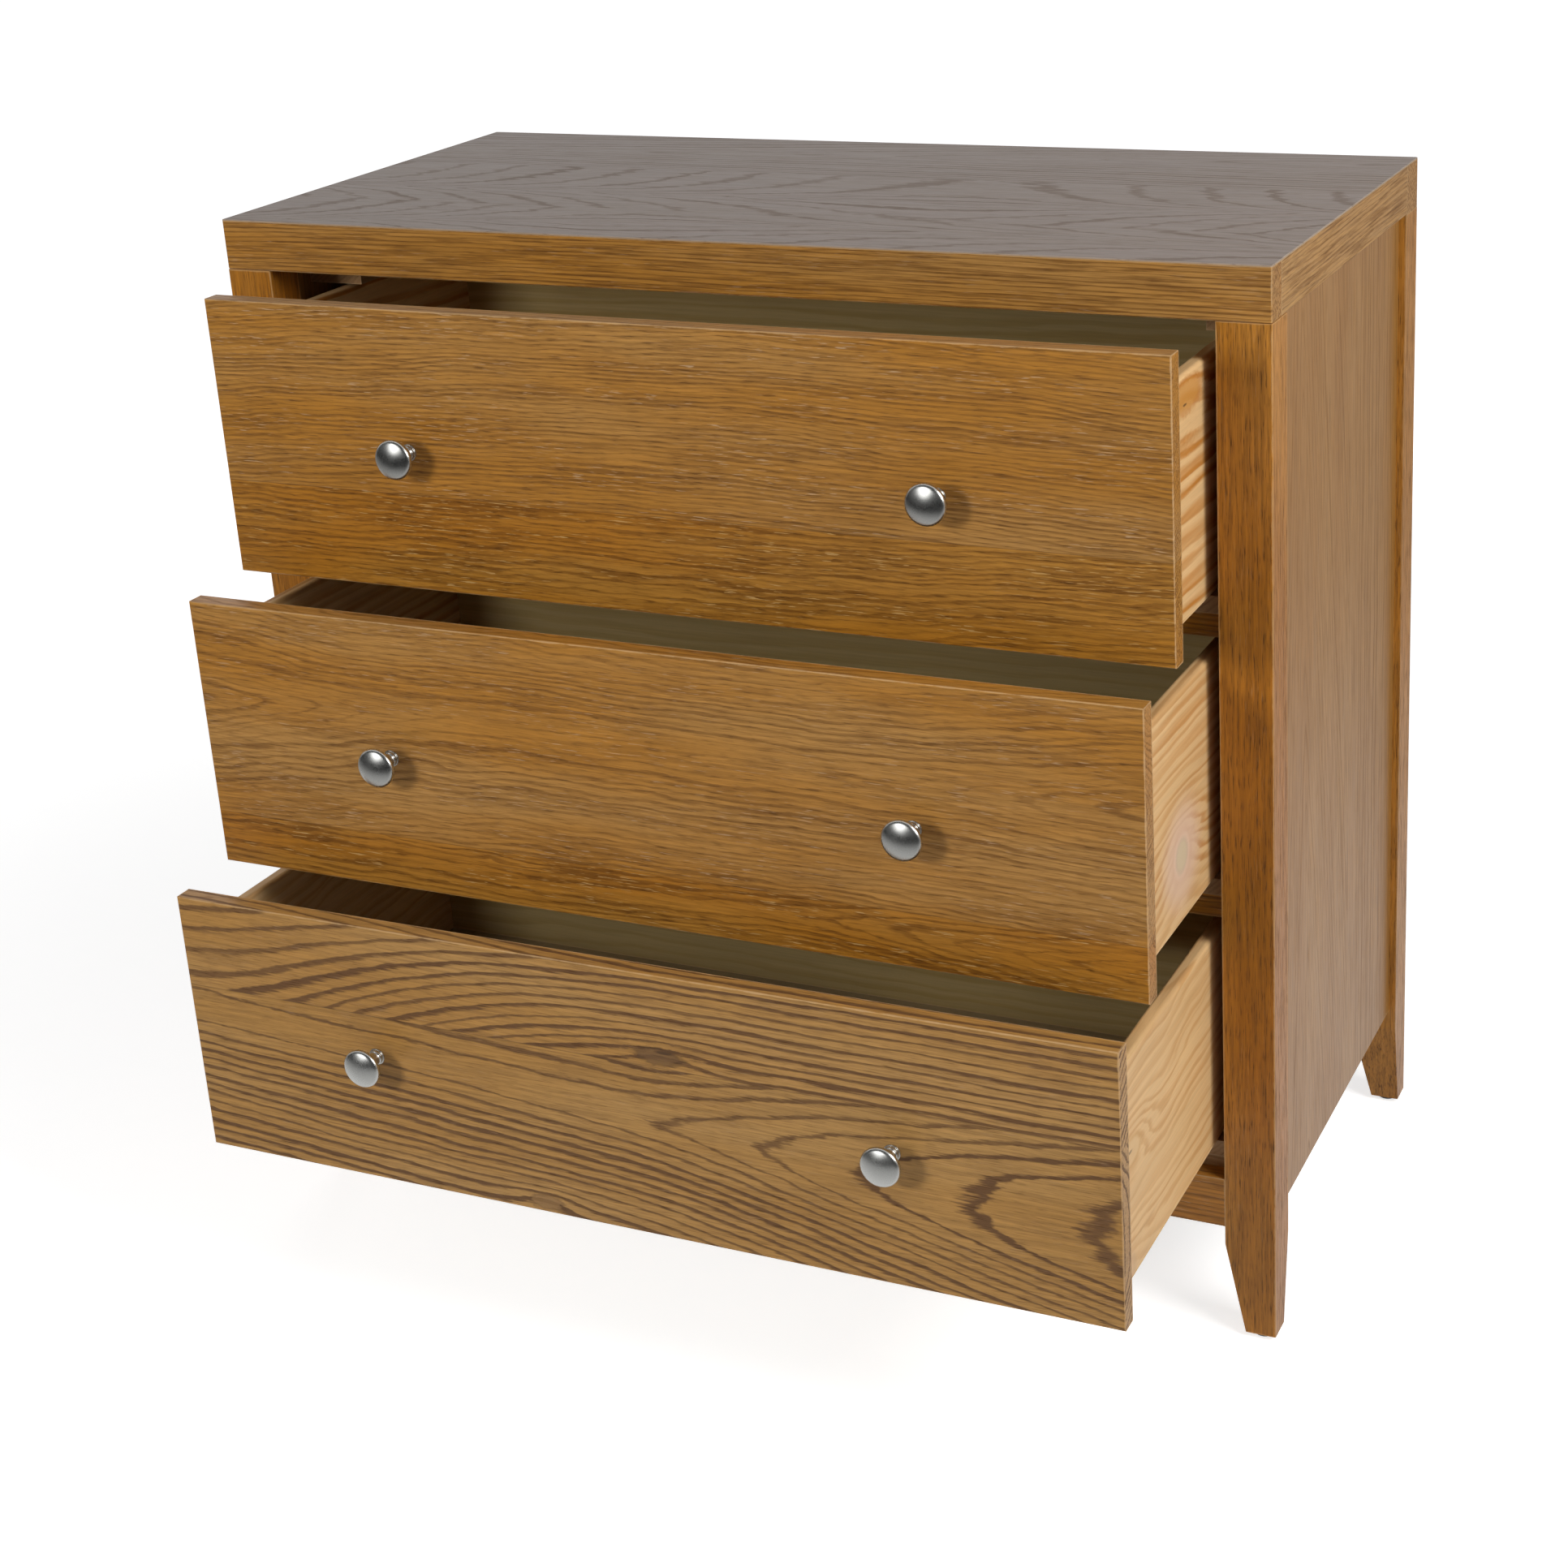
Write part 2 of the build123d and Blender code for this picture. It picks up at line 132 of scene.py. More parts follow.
class ChestFittings(bpy.types.PropertyGroup):
    """Sizes of the knobs, screws and glides."""

    knob_radius: length("Knob radius", "Widest radius of a knob", 16.5 * MM)
    knob_reach: length("Knob projection", "How far a knob stands out", 28.0 * MM)
    knob_base: length("Knob base radius", "Radius of the foot of a knob", 7.0 * MM)
    knob_neck: length("Knob neck radius", "Narrowest radius of a knob", 4.6 * MM)
    knob_dome: length("Knob dome height", "Height of the dome over the rim", 3.2 * MM)
    knob_rim: length("Knob rim height", "Height of the rolled rim", 5.8 * MM)
    glide_radius: length("Glide radius", "Radius of a glide", 9.0 * MM)
    glide_height: length("Glide height", "Height of a glide", 4.5 * MM)
    knob_screw_head: length("Knob screw head radius", "Radius of a knob screw's head", 4.2 * MM)
    knob_screw_height: length("Knob screw head height", "Height of a knob screw's head", 2.4 * MM)
    knob_screw_shank: length("Knob screw shank radius", "Radius of a knob screw's shank", 2.0 * MM)
    back_screw_head: length("Back screw head radius", "Radius of a back screw's head", 4.0 * MM)
    back_screw_height: length("Back screw head height", "Height of a back screw's head", 2.0 * MM)
    back_screw_shank: length("Back screw shank radius", "Radius of a back screw's shank", 1.75 * MM)


class ChestStage(bpy.types.PropertyGroup):
    """Camera, light and floor."""

    camera_place: bpy.props.FloatVectorProperty(
        name="Camera place", description="Where the camera stands", default=(0.9907, -2.0097, 1.3126),
        subtype="TRANSLATION", unit="LENGTH",
    )
    camera_azimuth: angle("Camera azimuth", "Turn from straight in front", math.radians(24.144))
    camera_elevation: angle("Camera elevation", "Angle above level", math.radians(19.922))
    camera_roll: angle("Camera roll", "Tilt of the picture", math.radians(-2.785))
    camera_lens: bpy.props.FloatProperty(
        name="Lens", description="Focal length for a 36 mm frame", default=61.105, min=1.0, unit="CAMERA"
    )
    camera_shift: bpy.props.FloatProperty(
        name="Shift", description="Shift of the lens both ways", default=-0.1, min=-1.0, max=1.0
    )
    floor: colour("Floor", "Colour of the floor", (0.80, 0.80, 0.80))
    floor_lift: share("Floor lift", "White that the floor adds for the camera", 0.70)
    sky: share("Soft light", "Light that comes from all round", 0.07, 4.0)
    window: share("Window", "How bright gloss sees the key light", 3.6, 50.0)
    dark_room: share("Dark side", "What gloss sees in front of the chest", 0.07)
    key: power("Key", "Softbox in front on the left", 47.0)
    right: power("Right", "Softbox on the right", 39.0)
    rear: power("Rear", "Weak softbox behind", 14.0)
    fill: power("Fill", "Wide weak softbox in front on the right", 8.0)


# Shader helpers

class Value:
    """An output inside a node tree. Numbers take plain sums."""

    def __init__(self, tree, socket):
        self.tree = tree
        self.socket = socket

    def __add__(self, other):
        return self.tree.math("ADD", self, other)

    def __sub__(self, other):
        return self.tree.math("SUBTRACT", self, other)

    def __rsub__(self, other):
        return self.tree.math("SUBTRACT", other, self)

    def __mul__(self, other):
        return self.tree.math("MULTIPLY", self, other)

    def __truediv__(self, other):
        return self.tree.math("DIVIDE", self, other)

    __radd__ = __add__
    __rmul__ = __mul__


class Tree:
    """Adds and joins the nodes of one material or group."""

    def __init__(self, tree):
        self.tree = tree

    def put(self, value, socket):
        """Joins a value to a socket, or writes a plain number or tuple into it."""
        if isinstance(value, Value):
            self.tree.links.new(value.socket, socket)
        else:
            socket.default_value = value

    def node(self, kind, inputs=None, **settings):
        """The outputs, by number and by name, of a new node with its settings and inputs."""
        made = self.tree.nodes.new(kind)
        for name, value in settings.items():
            setattr(made, name, value)
        for key, value in (inputs or {}).items():
            self.put(value, made.inputs[key])
        outputs = {}
        for index, socket in enumerate(made.outputs):
            outputs[index] = outputs[socket.name] = Value(self, socket)
        return outputs

    def group(self, name, inputs):
        """The outputs of a shared effect placed in this tree, with its own values."""
        return self.node("ShaderNodeGroup", inputs, node_tree=bpy.data.node_groups[name])

    def math(self, operation, first, second=0.0):
        """One sum of one or two numbers."""
        return self.node("ShaderNodeMath", {0: first, 1: second}, operation=operation)[0]

    def hypot(self, first, second):
        """The root of the sum of two squares."""
        return self.math("SQRT", first * first + second * second)

    def ramp(self, value, low, high, start=0.0, end=1.0, smooth=True):
        """A number that goes from start to end as value goes from low to high."""
        kind = "SMOOTHSTEP" if smooth else "LINEAR"
        inputs = {0: value, 1: low, 2: high, 3: start, 4: end}
        return self.node("ShaderNodeMapRange", inputs, interpolation_type=kind)[0]

    def between(self, share_of, first, second):
        """A number between two others."""
        return self.node("ShaderNodeMix", {0: share_of, 2: first, 3: second}, data_type="FLOAT")[0]

    def tint(self, share_of, first, second, blend="MIX"):
        """A colour between two others."""
        inputs = {0: share_of, 6: first, 7: second}
        return self.node("ShaderNodeMix", inputs, data_type="RGBA", blend_type=blend)[2]

    def shaded(self, tone, light):
        """A colour made lighter or darker by a number."""
        return self.tint(1.0, tone, self.join(light, light, light), "MULTIPLY")

    def split(self, vector):
        """The three numbers of a vector."""
        parts = self.node("ShaderNodeSeparateXYZ", {0: vector})
        return parts[0], parts[1], parts[2]

    def join(self, x, y, z):
        """A vector of three numbers."""
        return self.node("ShaderNodeCombineXYZ", {0: x, 1: y, 2: z})[0]

    def plain_noise(self, vector, detail=2.0, roughness=0.5):
        """Smooth noise about 0.5."""
        inputs = {"Vector": vector, "Scale": 1.0, "Detail": detail, "Roughness": roughness}
        return self.node("ShaderNodeTexNoise", inputs)[0]

    def noise(self, vector, scale, seed, detail=2.0, roughness=0.5):
        """Smooth noise over a vector that is scaled in its three directions and moved by a seed."""
        scaled = self.node("ShaderNodeVectorMath", {0: vector, 1: scale}, operation="MULTIPLY")[0]
        shift = self.join(seed, seed, seed)
        moved = self.node("ShaderNodeVectorMath", {0: scaled, 1: shift}, operation="ADD")[0]
        return self.plain_noise(moved, detail, roughness)


class Given:
    """The inputs of a shared effect, by plain names."""

    def __init__(self, values):
        for name, value in values.items():
            setattr(self, name, value)


SOCKETS = {"number": "NodeSocketFloat", "vector": "NodeSocketVector", "colour": "NodeSocketColor"}
KINDS = {1: "number", 3: "vector", 4: "colour"}


def label(name):
    """A plain name as the sockets spell it: line_strength is "Line strength"."""
    return name.replace("_", " ").capitalize()


def shared_effect(name, inputs, outputs, build):
    """A shader node group, built once. inputs is {plain name: default}, outputs {name: kind}."""
    if name in bpy.data.node_groups:
        return
    group = bpy.data.node_groups.new(name, "ShaderNodeTree")
    for key, default in inputs.items():
        kind = KINDS[len(default) if isinstance(default, tuple) else 1]
        socket = group.interface.new_socket(name=label(key), in_out="INPUT", socket_type=SOCKETS[kind])
        socket.default_value = default
    for key, kind in outputs.items():
        group.interface.new_socket(name=key, in_out="OUTPUT", socket_type=SOCKETS[kind])
    tree = Tree(group)
    given = tree.node("NodeGroupInput")
    result = build(tree, Given({key: given[label(key)] for key in inputs}))
    tree.node("NodeGroupOutput", result)


# Shared effects

ARCH_RUN = 0.4
DEPTH_SHARE = 0.8


def soft_part(tree, value, ease):
    """The part of a number above zero, with a soft start."""
    return (value + tree.hypot(value, ease) - ease) * 0.5


def growth_rings(tree, given):
    """Counts growth rings: a plain core along an axis, and rings that open out along the board."""
    along, across, depth = tree.split(given.grain)
    slow = tree.noise(given.grain, (2.4, 9.0, 9.0), given.seed, 1.0)
    quick = tree.noise(given.grain, (11.0, 30.0, 30.0), given.seed)
    bend = (slow - 0.5 + (quick - 0.5) * 0.45) * given.waver * 2.0
    past = along - given.turn
    after = soft_part(tree, past - given.span, given.ease)
    before = soft_part(tree, past * -1.0, given.ease)
    arch_run = (along - given.arch_centre) / ARCH_RUN
    axis = given.axis + given.lean * past + arch_run * arch_run * given.arch
    off = across - axis + bend
    squeeze = tree.between(tree.math("GREATER_THAN", off, 0.0), given.over, given.under)
    fan = tree.ramp(along, 0.0, given.fan_length, given.fan, 1.0)
    core = given.core + after * given.core_growth
    wide = (tree.math("ABSOLUTE", off) - core) * squeeze * fan
    radius = (wide + tree.hypot(wide, given.crown)) * 0.5
    radius = radius / (radius / given.settle + 1.0)
    drop = after * given.after + before * given.before
    jag = (tree.noise(given.grain, (28.0, 110.0, 110.0), given.seed, 3.0, 0.62) - 0.5) * given.jag
    reach = radius - drop + jag + depth * DEPTH_SHARE
    spread = tree.plain_noise(tree.join(along * 1.5, reach * 70.0, given.seed), 2.0, 0.6)
    uneven = (spread - 0.5) * given.uneven
    crown = tree.ramp(radius / given.spacing, 0.4, 2.2, 1.0, 0.0)
    return {"Rings": reach / given.spacing + uneven, "Crown": crown}


def ring_places(tree, given):
    """How far into its ring a place lies, and a chance number of each ring."""
    number = tree.math("FLOOR", given.rings) + given.seed
    chance = tree.node("ShaderNodeTexWhiteNoise", {"W": number}, noise_dimensions="1D")[0]
    return tree.math("FRACT", given.rings), chance


def knot_effect(tree, given):
    """A knot that pushes the rings aside: heart mask, rim mask and push."""
    along, across, _ = tree.split(given.grain)
    x, y, _ = tree.split(given.centre)
    rough = tree.noise(given.grain, (160.0, 320.0, 60.0), given.seed)
    size = tree.hypot((along - x) / given.half_length, (across - y) / given.half_width)
    size = size + (rough - 0.5) * given.ragged
    heart = tree.ramp(size, 1.05, 0.8)
    rim = tree.ramp(size, 0.75, 1.0) * tree.ramp(size, 1.35, 1.0)
    push = tree.math("EXPONENT", size * size * -0.22)
    return {"Heart": heart, "Rim": rim, "Push": push}


def oak_figure(tree, given):
    """Oak: open grain that starts each ring and breaks into streaks, with pores, blotches and flecks."""
    grain = given.grain
    seed = given.seed
    place, chance = ring_places(tree, given)
    streak = tree.noise(grain, (26.0, 620.0, 620.0), seed, 3.0, 0.6)
    second = tree.noise(grain, (15.0, 330.0, 330.0), seed + 4.0, 3.0, 0.62)
    cloud = tree.noise(grain, (7.0, 55.0, 55.0), seed + 7.0, 3.0, 0.6)
    pore = tree.ramp(tree.noise(grain, (60.0, 1100.0, 1100.0), seed), 0.53, 0.66)
    fleck = tree.ramp(tree.noise(grain, (55.0, 850.0, 850.0), seed + 9.0), 0.60, 0.68)
    fibre = tree.noise(grain, (12.0, 420.0, 420.0), seed + 3.0, 4.0, 0.7)
    mottle = tree.ramp(tree.noise(grain, (2.0, 13.0, 13.0), seed + 5.0, 3.0), 0.36, 0.64)
    blotch = (cloud - 0.5) * given.blotch
    slim = given.line_width * (1.0 - given.crown * 0.5)
    fade = tree.ramp(place, 0.08, slim * (chance * 0.9 + 1.1), 1.0, 0.0)
    faint = tree.ramp(chance, 0.0, 1.0, given.faint, 1.0, False)
    dense = tree.ramp(fade * 1.3 - streak * 1.5 + 0.10 + blotch, -0.15, 0.45)
    line = tree.ramp(place, 0.0, 0.10) * dense * faint * given.line_strength
    loose = tree.ramp(second + blotch * 0.4, 0.44, 0.62) * given.streak_strength
    dark = tree.math("MINIMUM", line + loose * (1.0 - line * 0.7), 1.0)
    pores = pore * (dark * 0.65 + 0.35) * given.pore_strength
    flecks = fleck * tree.ramp(cloud, 0.44, 0.58) * given.fleck_strength
    tone = tree.tint(mottle * given.mottle, given.pale, given.gold)
    tone = tree.shaded(tone, tree.ramp(fibre, 0.30, 0.70, 0.80, 1.18, False))
    tone = tree.tint(dark, tone, given.line)
    tone = tree.tint(pores * 0.75, tone, given.pore)
    tone = tree.tint(flecks, tone, given.fleck)
    dull = dark * 0.22 + pores * 0.20 + (fibre - 0.5) * 0.10
    height = fibre * 0.35 - dark * 0.4 - pores * 0.6
    return {"Color": tone, "Dull": dull, "Height": height}


def pine_figure(tree, given):
    """Softwood: bands that darken slowly and end at once, with fine streaks."""
    grain = given.grain
    seed = given.seed
    place, chance = ring_places(tree, given)
    rise = tree.ramp(place, chance * 0.25 + 0.12, 0.72)
    end = tree.ramp(place, 0.82, 1.0, 1.0, 0.0)
    soft = tree.ramp(tree.noise(grain, (5.0, 120.0, 120.0), seed, 3.0), 0.30, 0.65, 0.62, 1.0)
    late = rise * end * (chance * 0.45 + 0.55) * soft * given.band_strength
    fibre = tree.noise(grain, (10.0, 480.0, 480.0), seed + 2.0, 4.0, 0.7)
    canal = tree.ramp(tree.noise(grain, (34.0, 900.0, 900.0), seed + 4.0, 1.0), 0.66, 0.74)
    cloud = tree.noise(grain, (4.0, 12.0, 12.0), seed + 6.0)
    light = tree.ramp(fibre, 0.3, 0.7, 0.90, 1.08, False) * tree.ramp(cloud, 0.3, 0.7, 0.93, 1.06, False)
    tone = tree.shaded(tree.tint(late, given.pale, given.band), light)
    tone = tree.tint(canal * 0.22, tone, given.band)
    return {"Color": tone, "Dull": (fibre - 0.5) * 0.15, "Height": fibre * 0.4 + late * 0.4}


def edge_highlight_and_wear(tree, given):
    """Mask of the twelve edges of a board, broken by noise; it paints a pale highlight along the arrises,
    with a little wear.
    """
    places = tree.split(given.place)
    lows = tree.split(given.low_corner)
    highs = tree.split(given.high_corner)
    near = [tree.math("MINIMUM", at - low, high - at) for at, low, high in zip(places, lows, highs)]
    least = tree.math("MINIMUM", near[0], near[1])
    most = tree.math("MAXIMUM", near[0], near[1])
    second = tree.math("MAXIMUM", least, tree.math("MINIMUM", most, near[2]))
    rough = tree.noise(given.place, (60.0, 60.0, 60.0), given.seed, 4.0, 0.65)
    reach = given.width * tree.ramp(rough, 0.3, 0.7, 0.35, 1.5, False)
    return {"Wear": tree.ramp(second, reach, reach * 0.35)}


def satin_metal(tree, given):
    """Fine satin lines and a soft cloud on metal."""
    grit = tree.noise(given.place, (2600.0, 2600.0, 2600.0), given.seed)
    cloud = tree.noise(given.place, (140.0, 140.0, 140.0), given.seed, 3.0)
    tone = tree.shaded(given.tint, (cloud - 0.5) * 0.06 + 0.97)
    dull = given.roughness + (grit - 0.5) * 0.05 + tree.ramp(cloud, 0.35, 0.7) * 0.03
    return {"Color": tone, "Dull": dull, "Height": grit * 0.5 + cloud * 0.5}


def moulded_plastic(tree, given):
    """Fine grained plastic with scuffs."""
    grit = tree.noise(given.place, (1500.0, 1500.0, 1500.0), given.seed, 3.0, 0.6)
    scuff = tree.ramp(tree.noise(given.place, (300.0, 500.0, 300.0), given.seed, 4.0, 0.7), 0.5, 0.7)
    tone = tree.shaded(given.tint, scuff * 0.6 + (grit - 0.5) * 0.2 + 0.85)
    return {"Color": tone, "Dull": given.roughness + scuff * 0.15, "Height": grit - scuff * 0.5}


def chip_board(tree, given):
    """Pressed chips."""
    cell = tree.node("ShaderNodeTexVoronoi", {"Vector": given.place, "Scale": 380.0})
    chip = tree.noise(given.place, (900.0, 500.0, 900.0), given.seed, 3.0)
    tone = tree.shaded(given.tint, tree.split(cell["Color"])[0] * 0.4 + chip * 0.2 + 0.7)
    dull = given.roughness + (chip - 0.5) * 0.2
    return {"Color": tone, "Dull": dull, "Height": cell["Distance"] + chip}


BLANK = (0.0, 0.0, 0.0)
WHITE = (1.0, 1.0, 1.0, 1.0)
BLACK = (0.0, 0.0, 0.0, 1.0)
RING_INPUTS = {
    "grain": BLANK, "spacing": 0.005, "axis": 0.0, "lean": 0.0, "turn": 0.0, "span": 0.0,
    "before": 0.0, "after": 0.0, "ease": 0.03, "core": 0.002, "core_growth": 0.0, "crown": 0.01,
    "settle": 10.0, "over": 1.0, "under": 1.0, "fan": 1.0, "fan_length": 1.0, "arch": 0.0,
    "arch_centre": 0.4, "waver": 0.002, "jag": 0.001, "uneven": 1.8, "seed": 0.0,
}
OAK_INPUTS = {
    "grain": BLANK, "rings": 0.0, "crown": 0.0, "seed": 0.0,
    "pale": WHITE, "gold": WHITE, "line": WHITE, "pore": WHITE, "fleck": WHITE,
    "line_strength": 1.0, "streak_strength": 0.3, "pore_strength": 0.6, "fleck_strength": 0.4,
    "mottle": 0.7, "line_width": 0.45, "blotch": 0.5, "faint": 0.55,
}
PINE_INPUTS = {
    "grain": BLANK, "rings": 0.0, "seed": 0.0, "pale": WHITE, "band": WHITE, "band_strength": 1.0,
}
KNOT_INPUTS = {
    "grain": BLANK, "centre": BLANK, "half_length": 0.01, "half_width": 0.005, "ragged": 0.4, "seed": 0.0,
}
EDGE_INPUTS = {"place": BLANK, "low_corner": BLANK, "high_corner": BLANK, "width": 0.001, "seed": 0.0}
FITTING_INPUTS = {"place": BLANK, "tint": WHITE, "roughness": 0.3, "seed": 0.0}
SURFACE_OUTPUTS = {"Color": "colour", "Dull": "number", "Height": "number"}


def make_effects():
    """Builds every shared effect once."""
    shared_effect("Growth rings", RING_INPUTS, {"Rings": "number", "Crown": "number"}, growth_rings)
    shared_effect("Knot", KNOT_INPUTS, {"Heart": "number", "Rim": "number", "Push": "number"}, knot_effect)
    shared_effect("Edge wear", EDGE_INPUTS, {"Wear": "number"}, edge_highlight_and_wear)
    shared_effect("Oak figure", OAK_INPUTS, SURFACE_OUTPUTS, oak_figure)
    shared_effect("Pine figure", PINE_INPUTS, SURFACE_OUTPUTS, pine_figure)
    shared_effect("Satin metal", FITTING_INPUTS, SURFACE_OUTPUTS, satin_metal)
    shared_effect("Moulded plastic", FITTING_INPUTS, SURFACE_OUTPUTS, moulded_plastic)
    shared_effect("Chip board", FITTING_INPUTS, SURFACE_OUTPUTS, chip_board)


# Materials

WOOD_RELIEF = 0.3 * MM
WOOD_SPECULAR = 0.3
BUMP_STRENGTH = 0.5
STRIP_RINGS = 40.0
SEAM_TONE = (0.08, 0.04, 0.015)
SEAM_SHARE = 0.35
SEAM_DEPTH = 0.6
HEART_SHARE = 0.75
RIM_SHARE = 0.5
HIGHLIGHT_AND_WEAR_SHARE = 0.65
WEAR_DULL = 0.08
LENGTHS = (
    "axis", "turn", "span", "ease", "core", "crown", "settle", "fan_length", "arch", "arch_centre",
    "waver", "jag",
)


def solid(value):
    """A colour as a socket takes it."""
    return (*value, 1.0)


def named(values):
    """Values by the names of their sockets."""
    return {label(key): value for key, value in values.items()}


def figure(spacing, **values):
    """Ring values of one strip, in millimetres where they are lengths."""
    scaled = {key: value * MM if key in LENGTHS else value for key, value in values.items()}
    return named({"spacing": spacing * MM, **scaled})


def knot(x, y, half_length, half_width, push, heart, rim, halo=None, ragged=0.4):
    """A knot at a place on a board, in millimetres, with its colours."""
    centre = (x * MM, y * MM, 0.0)
    sizes = {"half_length": half_length * MM, "half_width": half_width * MM}
    return named({"centre": centre, "ragged": ragged, **sizes}), push, heart, rim, halo


def finish_settings():
    """The colour settings."""
    return bpy.context.scene.chest_finish


def box_of(node):
    """Lowest and highest corner of a node as plain tuples."""
    low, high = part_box(node)
    return tuple(low), tuple(high)


def start_corner(node, run):
    """The corner of a node's box where the grain axes begin."""
    low, high = box_of(node)
    ends = {axis[1]: low if axis[0] == "+" else high for axis in run.split()}
    return [ends[letter]["XYZ".index(letter)] for letter in "XYZ"]


def dress(node, material):
    """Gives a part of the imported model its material."""
    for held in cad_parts[node].material_slots:
        held.material = material


def new_material(name):
    """An empty material, its tree, its shader and the place on the piece."""
    make_effects()
    material = bpy.data.materials.new(name)
    material.use_nodes = True
    tree = Tree(material.node_tree)
    shader = material.node_tree.nodes["Principled BSDF"]
    return material, tree, shader, tree.node("ShaderNodeTexCoord")["Object"]


def surface(tree, shader, tone, rough, height, relief):
    """Feeds colour, roughness and bump into the shader."""
    inputs = {"Height": height, "Distance": relief, "Strength": BUMP_STRENGTH}
    bump = tree.node("ShaderNodeBump", inputs)[0]
    tree.put(tone, shader.inputs["Base Color"])
    tree.put(rough, shader.inputs["Roughness"])
    tree.put(bump, shader.inputs["Normal"])


def fitting(name, effect, tint, roughness, relief, metal=0.0, seed=0.0):
    """A metal, plastic or chip board material."""
    material, tree, shader, place = new_material(name)
    made = tree.group(effect, {"Place": place, "Tint": solid(tint), "Roughness": roughness, "Seed": seed})
    surface(tree, shader, made["Color"], made["Dull"], made["Height"], relief)
    shader.inputs["Metallic"].default_value = metal
    return material


def grain_vector(tree, place, run, start):
    """Turns the place on the chest into along, across and depth. run is such as "+X -Z +Y"."""
    axes = run.split()
    signs = {axis[1]: -1.0 if axis[0] == "-" else 1.0 for axis in axes}
    flips = tuple(signs[letter] for letter in "XYZ")
    shift = tuple(-at * flip for at, flip in zip(start, flips))
    mapped = tree.node("ShaderNodeMapping", {"Vector": place, "Location": shift, "Scale": flips})[0]
    turned_to = tree.split(mapped)
    return tree.join(*(turned_to["XYZ".index(axis[1])] for axis in axes))


def rings_of(tree, grain, figures, joints, tones):
    """Ring numbers and crown share of a board of strips, its joint lines, its tones and its last strip."""
    across = tree.split(grain)[1]
    made = tree.group("Growth rings", {"Grain": grain, **figures[0]})
    rings, crown = made["Rings"], made["Crown"]
    seams = shade = past = None
    for index, joint in enumerate(joints):
        past = tree.math("GREATER_THAN", across, joint)
        seam = tree.ramp(tree.math("ABSOLUTE", across - joint), 0.6 * MM, 0.2 * MM)
        seams = seam if seams is None else tree.math("MAXIMUM", seams, seam)
        made = tree.group("Growth rings", {"Grain": grain, **figures[index + 1]})
        rings = tree.between(past, rings, made["Rings"] + STRIP_RINGS)
        crown = tree.between(past, crown, made["Crown"])
        if tones:
            shade = tree.tint(past, WHITE if shade is None else shade, solid(tones[index]))
    return rings, crown, seams, shade, past


def wood(
    node, name, kind, run, figures, colours, seed, sheen, worn=None, start=None, joints=(), tones=(),
    knots=(), last_strip=None, **values,
):
    """Gives a board its wood. figures are each strip's ring values, last_strip what the last changes."""
    material, tree, shader, place = new_material(name)
    grain = grain_vector(tree, place, run, start or start_corner(node, run))
    rings, crown, seams, shade, past = rings_of(tree, grain, figures, joints, tones)
    values = {"Seed": seed, **named(values)}
    for key, value in named(last_strip or {}).items():
        values[key] = tree.between(past, values[key], value)
    for key, colour_name in colours.items():
        values[key] = solid(getattr(finish_settings(), colour_name))
    if kind == "Oak figure":
        values["Crown"] = crown
    dressed = []
    for shape, push, *knot_tones in knots:
        masks = tree.group("Knot", {"Grain": grain, "Seed": seed, **shape})
        rings = rings + masks["Push"] * push
        dressed.append((masks, *knot_tones))
    made = tree.group(kind, {"Grain": grain, "Rings": rings, **values})
    tone = made["Color"]
    rough = made["Dull"] + sheen
    height = made["Height"]
    if shade is not None:
        tone = tree.tint(1.0, tone, shade, "MULTIPLY")
    for masks, heart, rim, halo in dressed:
        if halo:
            near = tree.ramp(masks["Push"], 0.15, 0.75)
            tone = tree.tint(near * HEART_SHARE, tone, solid(halo))
        tone = tree.tint(masks["Heart"] * HEART_SHARE, tone, solid(heart))
        tone = tree.tint(masks["Rim"] * RIM_SHARE, tone, solid(rim))
    if seams is not None:
        tone = tree.tint(seams * SEAM_SHARE, tone, solid(SEAM_TONE))
        height = height - seams * SEAM_DEPTH
    # Pale edges: painted highlight along the arrises, with a little wear; the edges also turn a little
    # rougher.
    if worn:
        width, highlight_and_wear_tone = worn
        low, high = box_of(node)
        board = {"Place": place, "Low corner": low, "High corner": high}
        mask = tree.group("Edge wear", {"Width": width * MM, "Seed": seed, **board})["Wear"]
        tone = tree.tint(mask * HIGHLIGHT_AND_WEAR_SHARE, tone, solid(highlight_and_wear_tone))
        rough = rough + mask * WEAR_DULL
    surface(tree, shader, tone, rough, height, WOOD_RELIEF)
    shader.inputs["Specular IOR Level"].default_value = WOOD_SPECULAR
    dress(node, material)


def oak(node, name, run, figures, pale="oak_pale", gold="oak_gold", line="oak_line", sheen=None, **values):
    """Gives a board oak, varnished as the settings say unless a sheen is given."""
    colours = {"Pale": pale, "Gold": gold, "Line": line, "Pore": "oak_pore", "Fleck": "oak_fleck"}
    sheen = finish_settings().sheen if sheen is None else sheen
    wood(node, name, "Oak figure", run, figures, colours, sheen=sheen, **values)


def pine(node, name, run, figures, palette, **values):
    """Gives a board pine, or the plywood or plain hardwood of the same effect."""
    colours = {"Pale": f"{palette}_pale", "Band": f"{palette}_band"}
    wood(node, name, "Pine figure", run, figures, colours, **values)


# Pieces of the carcass

